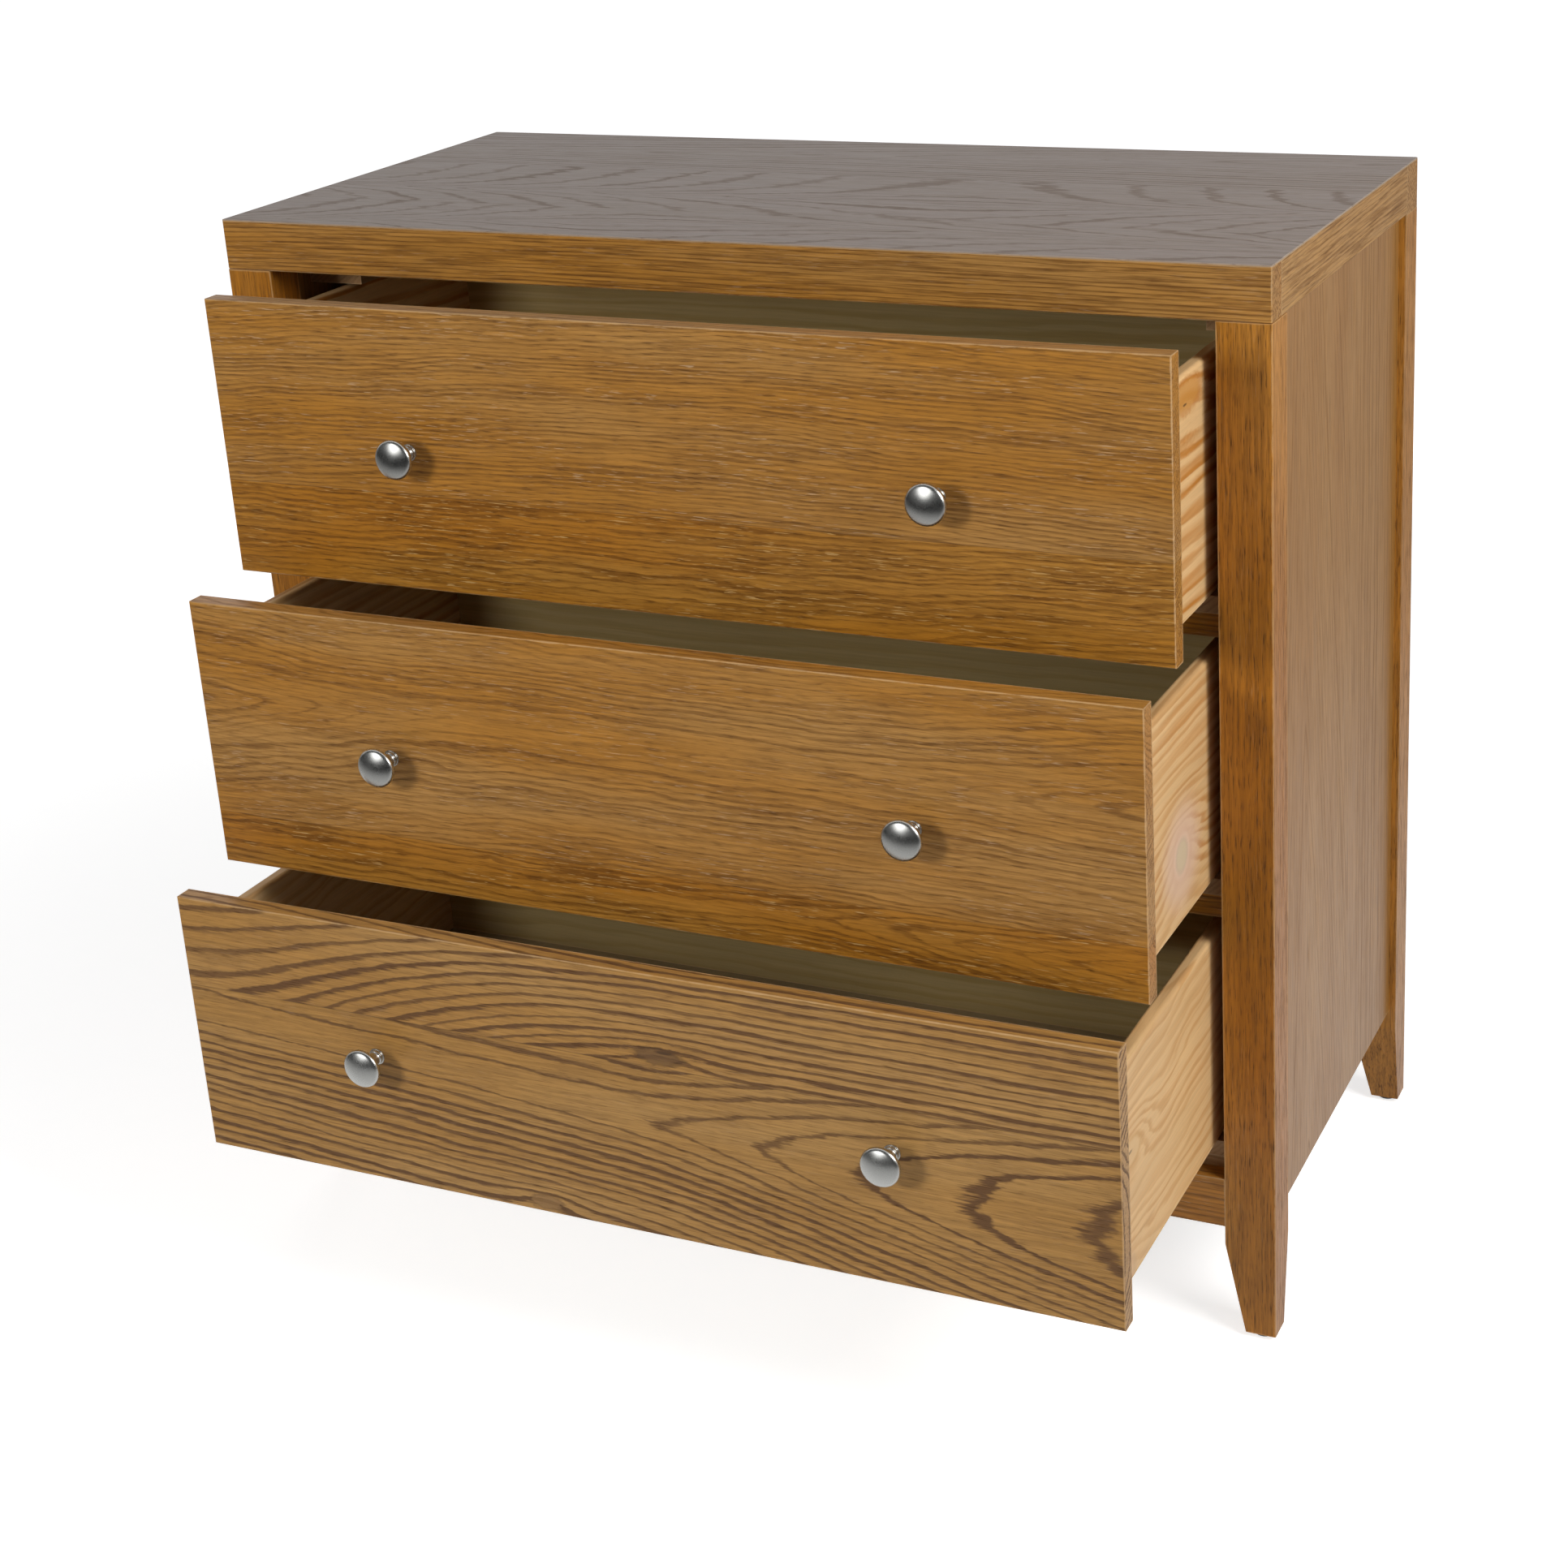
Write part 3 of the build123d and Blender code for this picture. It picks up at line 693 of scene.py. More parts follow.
LIPPING_TOP = 0.8995
# Edge tones: pale painted highlight with a little wear.
PINE_HIGHLIGHT_AND_WEAR = (1.0, (0.74, 0.52, 0.28))
HARDWOOD_HIGHLIGHT_AND_WEAR = (0.50, 0.34, 0.19)
PANEL_EDGE_HIDDEN = 8 * MM
SIDE_EDGE_HIDDEN = 7 * MM
TOP_FIGURES = (
    figure(9.0, axis=88, lean=-0.056, turn=60, after=0.067, before=0.02, core=3, crown=5, over=0.8,
           waver=8, jag=2.6, uneven=1.2, seed=2.0),
    figure(6.0, axis=258, lean=-0.02, turn=600, after=-0.12, before=-0.10, ease=110, core=2, crown=3,
           settle=27, over=2.4, waver=9, jag=4, uneven=1.0, seed=5.0),
    figure(6.5, axis=364, arch=24, arch_centre=660, turn=330, after=-0.07, before=-0.12, ease=80, core=2,
           crown=3, settle=30, over=2.4, waver=10, jag=4, uneven=1.0, seed=7.0),
)
PANEL_FIGURES = (
    figure(7.5, axis=62, lean=0.03, after=0.115, core=3, crown=6, waver=6, jag=1.4, seed=31.0),
    figure(9.0, axis=190, core=30, crown=20, waver=9, jag=1.0, seed=33.0),
    figure(8.5, axis=318, after=0.06, core=3, crown=6, over=0.8, under=0.8, waver=8, jag=2.4, seed=35.0),
)


def dress_top():
    """Veneer sheet in three strips, chip core and four solid lippings."""
    # The top's colours carry painted shade and painted sheen.
    oak(
        "top_veneer", "oak top sheet", "+X -Y -Z", TOP_FIGURES, "top_pale_shaded", "top_gold_shaded", "top_line_shaded",
        sheen=0.36, seed=1.0, worn=(0.9, (0.46, 0.36, 0.27)), joints=(0.160, 0.328), line_strength=0.62,
        streak_strength=0.20, pore_strength=0.45, fleck_strength=0.08, line_width=0.30,
    )
    dress("top_core", fitting("core board", "Chip board", finish_settings().core_tint, 0.7, 0.4 * MM))
    fine = figure(3.4, axis=-60, crown=5, waver=4, jag=0.8, arch=2.0, seed=3.0)
    dark = {"line_strength": 0.75}
    light = {"line_strength": 0.45, "pale": "oak_light", "gold": "oak_tan"}
    for side, run, seed, look in (
        ("front", "+X -Z +Y", 4.0, dark), ("back", "-X -Z -Y", 8.0, dark),
        ("right", "+Y -Z -X", 12.0, light), ("left", "-Y -Z +X", 16.0, light),
    ):
        x, y, _ = start_corner("top_veneer", run)
        oak(
            f"top_{side}_lipping", f"oak lipping {side}", run, (fine,), start=(x, y, LIPPING_TOP),
            seed=seed, worn=(1.2, (0.50, 0.33, 0.17)), streak_strength=0.55, fleck_strength=0.30, **look,
        )


def dress_legs():
    """Four solid legs with upright grain."""
    for end, end_seed in (("front", 20.0), ("rear", 26.0)):
        for side, axis, side_seed in (("right", -40, 0.0), ("left", 70, 3.0)):
            seed = end_seed + side_seed
            grain = figure(4.2, axis=axis, lean=0.02, crown=20, waver=9, jag=1.4, seed=seed)
            oak(
                f"leg_{end}_{side}", f"oak leg {end} {side}", "-Z +X +Y", (grain,), "leg_pale", "leg_gold",
                seed=seed, worn=(1.4, (0.52, 0.30, 0.12)), line_strength=0.18, streak_strength=0.40,
                pore_strength=1.7, fleck_strength=0.15, mottle=1.0, faint=0.2,
            )


def dress_panels():
    """Side panels in three upright strips, and the plywood back."""
    for side, run, seed in (("right", "-Z +Y -X", 30.0), ("left", "-Z +Y +X", 37.0)):
        node = f"side_panel_{side}"
        x, y, z = start_corner(node, run)
        # The panel colours carry painted shade.
        oak(
            node, f"oak panel {side}", run, PANEL_FIGURES, "panel_pale_shaded", "panel_gold_shaded", seed=seed,
            start=(x, y + PANEL_EDGE_HIDDEN, z), worn=(0.8, (0.50, 0.32, 0.16)), joints=(0.205, 0.330),
            line_strength=0.42, streak_strength=0.24, pore_strength=0.35, fleck_strength=0.10, faint=0.15,
            blotch=1.0,
        )
    face = figure(14.0, axis=300, lean=0.02, turn=400, after=0.08, before=0.08, crown=50, waver=22,
                  jag=3.0, seed=41.0)
    pine(
        "back_panel", "plywood back", "-Z -X -Y", (face,), "plywood", seed=42.0, sheen=0.55,
        worn=(0.8, (0.62, 0.50, 0.32)), band_strength=0.6,
    )


def dress_rails():
    """Front rails, hidden rails, dowels, runners, guides, kickers and glide strips."""
    for index, node in enumerate(("divider_rail_upper", "divider_rail_lower", "bottom_rail")):
        seed = 50.0 + 3.0 * index
        grain = figure(4.5, axis=-30, lean=0.004, crown=8, waver=6, jag=1.0, arch=3.0, seed=seed)
        oak(
            node, f"oak rail {index + 1}", "+X -Z +Y", (grain,), "leg_pale", "leg_gold", seed=seed,
            worn=(1.0, (0.50, 0.31, 0.14)), line_strength=0.55, streak_strength=0.35,
        )
    across = ["rear_rails", "bottom_cross_rail"]
    deep = [f"runner_{level}_{side}" for level in LEVELS for side in SIDES]
    deep += [f"centre_guide_{level}" for level in LEVELS]
    deep += [f"kicker_{side}" for side in SIDES]
    for index, node in enumerate(across + deep):
        run = "+X -Z +Y" if node in across else "+Y -Z +X"
        seed = 60.0 + 2.0 * index
        grain = figure(5.0, axis=-25, lean=0.01, crown=10, waver=8, jag=1.0, seed=seed)
        pine(
            node, f"hardwood {node.replace('_', ' ')}", run, (grain,), "hardwood", seed=seed, sheen=0.52,
            worn=(1.0, HARDWOOD_HIGHLIGHT_AND_WEAR), band_strength=0.7,
        )
    grain = figure(2.5, axis=-10, crown=3, waver=2, jag=0.5, seed=90.0)
    pine("carcass_dowels", "hardwood dowels", "+X -Z +Y", (grain,), "hardwood", seed=91.0, sheen=0.6)
    nylon = fitting("nylon strip", "Moulded plastic", finish_settings().strip, 0.42, 0.2 * MM, seed=95.0)
    dress("glide_strips", nylon)


# Pieces of the drawers

FRONT_LOOKS = {
    "top": {
        "figures": (
            figure(3.7, axis=-160, arch=16, arch_centre=420, waver=12, jag=1.5, uneven=1.0, seed=101.0),
            figure(4.6, axis=-160, lean=-0.02, arch=-6, arch_centre=420, waver=16, jag=5.5, uneven=1.4,
                   seed=102.0),
        ),
        "joints": (0.152,), "tones": ((0.97, 0.87, 0.52),),
        "line_strength": 0.55, "line_width": 0.66, "streak_strength": 0.30, "fleck_strength": 0.80,
        "pore_strength": 1.1, "blotch": 1.0, "faint": 0.55,
        "last_strip": {
            "blotch": 1.8, "streak_strength": 0.38, "line_strength": 0.60, "fleck_strength": 1.5,
        },
    },
    "middle": {
        "figures": (
            figure(5.2, axis=84, lean=-0.01, turn=200, span=430, after=0.085, before=0.10, core=6, crown=8,
                   waver=18, jag=3.6, uneven=1.3, seed=111.0),
            figure(5.2, axis=205, turn=560, after=0.11, core=5, crown=6, waver=16, jag=5, uneven=1.3,
                   seed=112.0),
        ),
        "joints": (0.186,), "tones": ((0.97, 0.88, 0.56),),
        "line_strength": 0.58, "line_width": 0.62, "streak_strength": 0.30, "fleck_strength": 0.60,
        "pore_strength": 1.0, "blotch": 1.6, "faint": 0.45,
        "last_strip": {
            "blotch": 2.0, "streak_strength": 0.38, "line_strength": 0.64, "fleck_strength": 1.3,
        },
    },
    "bottom": {
        "figures": (
            figure(8.0, axis=-54.7, crown=1, ease=1, fan=0.42, fan_length=430, waver=5, jag=3.0,
                   uneven=0.7, seed=121.0),
            figure(8.2, axis=127, lean=0.065, turn=430, after=0.092, core=10, core_growth=0.065, crown=9,
                   over=0.7, waver=7, jag=4.0, uneven=0.7, seed=122.0),
        ),
        "joints": (0.080,), "tones": ((0.97, 0.98, 0.98),),
        "pale": "oak_light", "gold": "oak_tan", "line": "oak_grey",
        "line_strength": 1.05, "line_width": 0.52, "streak_strength": 0.28, "fleck_strength": 0.20,
        "pore_strength": 0.9, "blotch": 0.6, "faint": 0.7,
        "knots": (
            knot(447, 70, 19, 7.0, 0.9, (0.15, 0.080, 0.034), (0.05, 0.025, 0.012), ragged=0.7),
            knot(452, 66, 8, 1.4, 0.0, (0.05, 0.025, 0.012), (0.09, 0.04, 0.015), ragged=0.8),
            knot(330, 223, 15, 6.0, 0.7, (0.28, 0.155, 0.06), (0.12, 0.06, 0.025), ragged=0.9),
        ),
    },
}
SIDE_LOOKS = {
    "top": {
        "figures": (figure(16.0, axis=-36, lean=0.04, crown=4, waver=11, jag=1.5, seed=131.0),),
        "band_strength": 1.25,
    },
    "middle": {
        "figures": (figure(11.0, axis=-30, lean=0.01, crown=4, waver=7, jag=1.0, seed=133.0),),
        "band_strength": 0.85,
    },
    "bottom": {
        "figures": (figure(14.0, axis=-30, lean=-0.05, crown=4, waver=26, jag=1.0, seed=135.0),),
        "band_strength": 0.55,
    },
}
SIDE_KNOTS = {
    "top": (
        knot(42, 17, 30, 12, 1.4, (0.55, 0.25, 0.05), (0.48, 0.18, 0.03), ragged=0.7),
        knot(37, 23, 4, 0.9, 0.0, (0.06, 0.035, 0.02), (0.25, 0.11, 0.03), ragged=0.5),
    ),
    "middle": (
        knot(86, 132, 21, 21, 2.4, (0.72, 0.50, 0.36), (0.66, 0.42, 0.28), (0.72, 0.50, 0.36), 0.15),
        knot(86, 132, 12.5, 12.5, 0.0, (0.60, 0.49, 0.31), (0.54, 0.42, 0.28), ragged=0.15),
    ),
    "bottom": (
        knot(28, 80, 20, 11, 3.2, (0.70, 0.46, 0.22), (0.56, 0.29, 0.09), ragged=0.2),
        knot(22, 79, 8, 1.1, 0.0, (0.13, 0.085, 0.05), (0.30, 0.17, 0.08), ragged=0.8),
        knot(-6, 176, 34, 16, 2.6, (0.70, 0.45, 0.25), (0.52, 0.33, 0.18), ragged=0.2),
    ),
}


def dress_fronts():
    """Three oak fronts, each in two strips of veneer."""
    for index, level in enumerate(LEVELS):
        oak(
            f"drawer_{level}_front", f"oak front {level}", "+X -Z +Y", seed=100.0 + 10.0 * index,
            worn=(1.3, (0.56, 0.36, 0.18)), **FRONT_LOOKS[level],
        )


def dress_boxes():
    """Pine sides and backs, plywood bottoms and hardwood centre runners."""
    for index, level in enumerate(LEVELS):
        for side, run, side_seed in (("right", "+Y -Z -X", 0.0), ("left", "+Y -Z +X", 3.0)):
            node = f"drawer_{level}_side_{side}"
            x, y, z = start_corner(node, run)
            pine(
                node, f"pine side {level} {side}", run, palette="pine", sheen=0.46, worn=PINE_HIGHLIGHT_AND_WEAR,
                seed=130.0 + 7.0 * index + side_seed, start=(x, y + SIDE_EDGE_HIDDEN, z),
                knots=SIDE_KNOTS[level] if side == "right" else (), **SIDE_LOOKS[level],
            )
        grain = figure(12.0, axis=-30, lean=-0.01, crown=4, waver=12, jag=1.5, seed=150.0 + index)
        pine(
            f"drawer_{level}_back", f"pine back {level}", "+X -Z +Y", (grain,), "back", seed=151.0 + index,
            sheen=0.46, worn=PINE_HIGHLIGHT_AND_WEAR, band_strength=0.6,
        )
        grain = figure(20.0, axis=180, turn=300, after=0.05, before=0.1, crown=40, waver=20, jag=3,
                       seed=160.0 + index)
        pine(
            f"drawer_{level}_bottom", f"plywood bottom {level}", "+X -Y -Z", (grain,), "plywood",
            seed=161.0 + index, sheen=0.5, worn=(0.6, (0.6, 0.5, 0.34)), band_strength=0.45,
        )
        grain = figure(5.0, axis=-20, crown=6, waver=6, jag=1.0, seed=170.0 + index)
        pine(
            f"drawer_{level}_centre_runner", f"hardwood channel {level}", "+Y -Z +X", (grain,), "hardwood",
            seed=171.0 + index, sheen=0.52, worn=(0.8, HARDWOOD_HIGHLIGHT_AND_WEAR), band_strength=0.7,
        )


# New pieces

SHARP_FROM = math.radians(38)
KNOB_STEPS = 72
GLIDE_STEPS = 40
HEAD_CELLS = 10
SHANK_STEPS = 16
SHANK_POINT = 0.82
BACK_SCREW_ROWS = 4
NICKEL_RELIEF = 0.015 * MM
STEEL_RELIEF = 0.06 * MM


def new_piece(name, bm, material, body, slot, *nodes):
    """Makes a piece of a finished bmesh, gives it material and body, and lets it stand for its nodes."""
    mesh = bpy.data.meshes.new(name)
    bm.to_mesh(mesh)
    bm.free()
    mesh.polygons.foreach_set("use_smooth", [True] * len(mesh.polygons))
    mesh.set_sharp_from_angle(angle=SHARP_FROM)
    piece = bpy.data.objects.new(name, mesh)
    bpy.context.scene.collection.objects.link(piece)
    piece.data.materials.append(material)
    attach(piece, body)
    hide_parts(*nodes)


def curve(start, pull, end, steps):
    """Points of a smooth bend from start to end, pulled towards a corner; the start is left out."""
    points = []
    for index in range(1, steps + 1):
        t = index / steps
        a, b, c = (1 - t) ** 2, 2 * t * (1 - t), t * t
        points.append((a * start[0] + b * pull[0] + c * end[0], a * start[1] + b * pull[1] + c * end[1]))
    return points


def turned(outline, steps):
    """A solid turned round Z from an outline of (radius, height) points."""
    bm = bmesh.new()
    verts = [bm.verts.new((radius, 0.0, height)) for radius, height in outline]
    edges = [bm.edges.new(pair) for pair in zip(verts, verts[1:])]
    bmesh.ops.spin(
        bm, geom=verts + edges, cent=(0, 0, 0), axis=(0, 0, 1), dvec=(0, 0, 0), angle=2 * math.pi,
        steps=steps, use_merge=True, use_duplicate=False,
    )
    bmesh.ops.remove_doubles(bm, verts=bm.verts, dist=1e-6)
    bmesh.ops.recalc_face_normals(bm, faces=bm.faces)
    return bm


def knob_outline(settings):
    """Outline of a knob from the middle of its dome to the middle of its foot."""
    top = settings.knob_reach
    widest = settings.knob_radius
    neck = settings.knob_neck
    base = settings.knob_base
    rim_top = top - settings.knob_dome
    rim_low = rim_top - settings.knob_rim
    rim_in = widest - 1.9 * MM
    flare = neck + 1.6 * MM
    flare_top = top - 12.6 * MM
    neck_pull = 9.6 * MM
    neck_low = 5.6 * MM
    collar = base - 0.9 * MM
    hollow = 4.2 * MM
    collar_top = 4.0 * MM
    collar_round = 3.3 * MM
    collar_low = 1.7 * MM
    foot = 1.4 * MM
    foot_round = 1.0 * MM
    points = [(0.0, top)]
    for pull, end, steps in (
        ((rim_in * 0.5, top), (rim_in * 0.98, rim_top + 0.25 * MM), 14),
        ((widest, rim_top - 0.9 * MM), (widest, (rim_top + rim_low) / 2), 7),
        ((widest, rim_low + 0.6 * MM), (rim_in, rim_low), 7),
        ((rim_in * 0.72, rim_low - 0.9 * MM), (flare, flare_top), 8),
        ((neck * 0.92, neck_pull), (neck + 0.25 * MM, neck_low), 10),
        ((neck + 0.6 * MM, hollow), (collar - 0.5 * MM, collar_top), 5),
        ((collar, collar_top - 0.1 * MM), (collar, collar_round), 4),
    ):
        points += curve(points[-1], pull, end, steps)
    points += [(collar, collar_low)]
    points += curve(points[-1], (collar + 0.05 * MM, foot), (collar + 0.4 * MM, foot), 3)
    points += curve((base - 0.4 * MM, foot), (base, foot), (base, foot_round), 4)
    return points + [(base, 0.0), (0.0, 0.0)]


def make_knobs():
    """Six turned knobs, each standing on its drawer front."""
    outline = knob_outline(bpy.context.scene.chest_fittings)
    nickel = finish_settings().nickel
    metal = fitting("satin nickel", "Satin metal", nickel, 0.26, NICKEL_RELIEF, metal=1.0, seed=3.0)
    forwards = Matrix.Rotation(math.pi / 2, 4, "X")
    for level in LEVELS:
        for side in ("left", "right"):
            node = f"drawer_{level}_knob_{side}"
            low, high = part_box(node)
            place = Vector(((low[0] + high[0]) / 2, high[1], (low[2] + high[2]) / 2))
            bm = turned(outline, KNOB_STEPS)
            bmesh.ops.transform(bm, matrix=Matrix.Translation(place) @ forwards, verts=bm.verts)
            new_piece(f"knob_{level}_{side}", bm, metal, f"drawer_{level}", "nickel", node)


def screw_head(bm, radius, height, placed):
    """A domed head with a cross recess, made on Z = 0 and then placed."""
    arm_width = 0.2
    arm_length = 0.6
    edge_height = 0.35
    roundness = 2.6
    pit_taper = 0.72
    pit_floor = 0.34
    made = bmesh.ops.create_grid(bm, x_segments=HEAD_CELLS, y_segments=HEAD_CELLS, size=1.0)
    verts = made["verts"]
    faces = list({face for vert in verts for face in vert.link_faces})
    arm = []
    for face in faces:
        middle = face.calc_center_median()
        across, along = sorted((abs(middle.x), abs(middle.y)))
        if across < arm_width and along < arm_length:
            arm.append(face)
    for vert in verts:
        reach = max(abs(vert.co.x), abs(vert.co.y))
        flat = math.hypot(vert.co.x, vert.co.y) or 1.0
        dome = edge_height + (1.0 - edge_height) * math.sqrt(max(0.0, 1.0 - reach ** roundness))
        vert.co = (vert.co.x / flat * reach * radius, vert.co.y / flat * reach * radius, height * dome)
    pit = bmesh.ops.extrude_face_region(bm, geom=arm)
    floor = [item for item in pit["geom"] if isinstance(item, bmesh.types.BMVert)]
    bmesh.ops.delete(bm, geom=arm, context="FACES_ONLY")
    for vert in floor:
        vert.co = (vert.co.x * pit_taper, vert.co.y * pit_taper, height * pit_floor)
    rim = [edge for edge in bm.edges if edge.is_boundary and edge.verts[0] in verts]
    wall = bmesh.ops.extrude_edge_only(bm, edges=rim)
    low = [item for item in wall["geom"] if isinstance(item, bmesh.types.BMVert)]
    for vert in low:
        vert.co.z = 0.0
    edges = [item for item in wall["geom"] if isinstance(item, bmesh.types.BMEdge)]
    bmesh.ops.contextual_create(bm, geom=[edge for edge in edges if edge.is_boundary])
    bmesh.ops.transform(bm, matrix=placed, verts=verts + floor + low)


def screw_shank(bm, radius, reach, placed):
    """A shank that runs down from Z = 0 to its point, made and then placed."""
    body = bmesh.ops.create_cone(
        bm, cap_ends=True, cap_tris=False, segments=SHANK_STEPS, depth=reach, radius1=radius * SHANK_POINT,
        radius2=radius,
    )
    lowered = Matrix.Translation((0, 0, -reach / 2))
    bmesh.ops.transform(bm, matrix=placed @ lowered, verts=body["verts"])


def screw_set(name, node, body, metal, radius, tall, shank, rows=1):
    """Screws at both ends of a node's box, in rows up its height, heads towards the back."""
    low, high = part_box(node)
    backwards = Matrix.Rotation(-math.pi / 2, 4, "X")
    seat = high[1] - tall
    rise = high[2] - low[2] - 2 * radius
    heights = [(low[2] + high[2]) / 2]
    if rows > 1:
        heights = [low[2] + radius + index * rise / (rows - 1) for index in range(rows)]
    bm = bmesh.new()
    for x in (low[0] + radius, high[0] - radius):
        for z in heights:
            placed = Matrix.Translation((x, seat, z)) @ backwards
            screw_head(bm, radius, tall, placed)
            screw_shank(bm, shank, seat - low[1], placed)
    bmesh.ops.recalc_face_normals(bm, faces=bm.faces)
    new_piece(name, bm, metal, body, "steel", node)


def make_screws():
    """Knob screws inside the drawers and the screws of the back panel."""
    sizes = bpy.context.scene.chest_fittings
    steel = finish_settings().steel
    metal = fitting("bright steel", "Satin metal", steel, 0.32, STEEL_RELIEF, metal=1.0, seed=8.0)
    knob_screw = (sizes.knob_screw_head, sizes.knob_screw_height, sizes.knob_screw_shank)
    back_screw = (sizes.back_screw_head, sizes.back_screw_height, sizes.back_screw_shank)
    for level in LEVELS:
        node = f"drawer_{level}_knob_screws"
        screw_set(f"knob_screws_{level}", node, f"drawer_{level}", metal, *knob_screw)
    screw_set("back_screws", "back_panel_screws", "carcass", metal, *back_screw, BACK_SCREW_ROWS)


def make_glides():
    """Four domed glides under the feet."""
    sizes = bpy.context.scene.chest_fittings
    plastic = fitting("dark glide", "Moulded plastic", finish_settings().glide, 0.38, 0.2 * MM, seed=12.0)
    low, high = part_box("leg_glides")
    radius = sizes.glide_radius
    tall = sizes.glide_height
    dimple = 0.5 * MM
    outline = [(0.0, dimple), (1.6 * MM, dimple)]
    outline += curve(outline[-1], (2.4 * MM, dimple), (3.0 * MM, 0.0), 4)
    outline += curve((radius * 0.62, 0.0), (radius * 0.97, 0.05 * MM), (radius, tall * 0.45), 8)
    outline += [(radius, tall * 0.62)]
    outline += curve(outline[-1], (radius, tall * 0.7), (radius * 0.93, tall * 0.72), 3)
    outline += [(radius * 0.93, tall), (0.0, tall)]
    bm = bmesh.new()
    for x in (low[0] + radius, high[0] - radius):
        for y in (low[1] + radius, high[1] - radius):
            one = turned(outline, GLIDE_STEPS)
            bmesh.ops.transform(one, matrix=Matrix.Translation((x, y, 0.0)), verts=one.verts)
            mesh = bpy.data.meshes.new("glide")
            one.to_mesh(mesh)
            one.free()
            bm.from_mesh(mesh)
            bpy.data.meshes.remove(mesh)
    new_piece("glides", bm, plastic, "carcass", "glide_plastic", "leg_glides")


# Stage

AIM = (0.0, -0.2, 0.5)
# azimuth, elevation, distance, size and whether gloss sees the lamp
LAMPS = {
    "key": (-20.0, 21.0, 3.2, 0.75, False),
    "right": (76.0, 32.0, 2.5, 1.1, True),
    "fill": (50.0, 14.0, 3.4, 1.6, False),
    "rear": (200.0, 10.0, 3.0, 1.3, False),
}
WINDOW_EDGE = 0.93
FLOOR_HALF = 30.0
# metres from the middle of the floor, or from it towards the camera, where a look starts and ends
SHADOW_FADE = (0.8, 2.6)
GLOSS_FADE = (0.5, 2.2)
FRONT_DARK = (-1.9, -0.9)
FRONT_DIM = (-0.9, -0.2)


def direction(azimuth, elevation):
    """Unit vector from the chest towards an azimuth and elevation."""
    level = math.cos(elevation)
    return Vector((math.sin(azimuth) * level, -math.cos(azimuth) * level, math.sin(elevation)))


def softbox(name, azimuth, elevation, away, size, shine, energy):
    """A square lamp that looks at the middle of the chest; gloss sees it where shine is set."""
    lamp = bpy.data.lights.new(name, "AREA")
    lamp.shape = "SQUARE"
    lamp.size = size
    lamp.energy = energy
    holder = bpy.data.objects.new(name, lamp)
    back = direction(math.radians(azimuth), math.radians(elevation))
    holder.location = Vector(AIM) + back * away
    holder.rotation_euler = back.to_track_quat("Z", "Y").to_euler()
    holder.visible_camera = False
    holder.visible_glossy = shine
    bpy.context.scene.collection.objects.link(holder)


def make_world(settings):
    """White for the camera; gloss sees a wall behind, a dark room in front and the key's window."""
    world = bpy.data.worlds.new("studio")
    bpy.context.scene.world = world
    world.use_nodes = True
    tree = Tree(world.node_tree)
    shader = world.node_tree.nodes["Background"]
    path = tree.node("ShaderNodeLightPath")
    spot = tree.node("ShaderNodeTexCoord")["Generated"]
    _, y, z = tree.split(spot)
    wall = tree.ramp(y, -0.30, 0.05) * tree.ramp(z, 0.0, 0.30, 0.4, 1.0)
    azimuth, elevation = LAMPS["key"][:2]
    window = direction(math.radians(azimuth), math.radians(elevation))
    facing = tree.node("ShaderNodeVectorMath", {0: spot, 1: window}, operation="DOT_PRODUCT")["Value"]
    pane = tree.ramp(facing, WINDOW_EDGE, 1.0) * settings.window
    gloss = tree.between(wall, settings.dark_room, 1.0) + pane
    clear = tree.math("MAXIMUM", path["Is Camera Ray"], path["Is Transmission Ray"])
    seen = tree.between(path["Is Glossy Ray"], settings.sky, gloss)
    tree.put(tree.between(clear, seen, 1.0), shader.inputs["Strength"])
    shader.inputs["Color"].default_value = WHITE


def make_floor(settings):
    """A wide pale floor that keeps the shadow and looks white to camera and gloss."""
    bm = bmesh.new()
    bmesh.ops.create_grid(bm, x_segments=2, y_segments=2, size=FLOOR_HALF)
    mesh = bpy.data.meshes.new("floor")
    bm.to_mesh(mesh)
    bm.free()
    floor = bpy.data.objects.new("floor", mesh)
    bpy.context.scene.collection.objects.link(floor)
    material, tree, shader, place = new_material("pale floor")
    floor.data.materials.append(material)
    shader.inputs["Roughness"].default_value = 0.9
    shader.inputs["Specular IOR Level"].default_value = 0.0
    shader.inputs["Emission Color"].default_value = WHITE
    path = tree.node("ShaderNodeLightPath")
    speck = tree.noise(place, (40.0, 40.0, 40.0), 2.0, 3.0)
    pale = tree.shaded(solid(settings.floor), tree.ramp(speck, 0.3, 0.7, 0.985, 1.0))
    tree.put(tree.tint(path["Is Glossy Ray"], pale, BLACK), shader.inputs["Base Color"])
    seen = tree.math("MAXIMUM", path["Is Camera Ray"], path["Is Transmission Ray"])
    x, y, _ = tree.split(place)
    away = tree.hypot(x, y)
    lift = tree.ramp(away, *SHADOW_FADE, settings.floor_lift, 1.0)
    front = tree.between(tree.ramp(y, *FRONT_DARK), 0.06, tree.ramp(y, *FRONT_DIM, 0.55, 1.0))
    dim = tree.ramp(away, *GLOSS_FADE, 1.0, 0.42) * front
    tree.put(tree.between(path["Is Glossy Ray"], seen * lift, dim), shader.inputs["Emission Strength"])


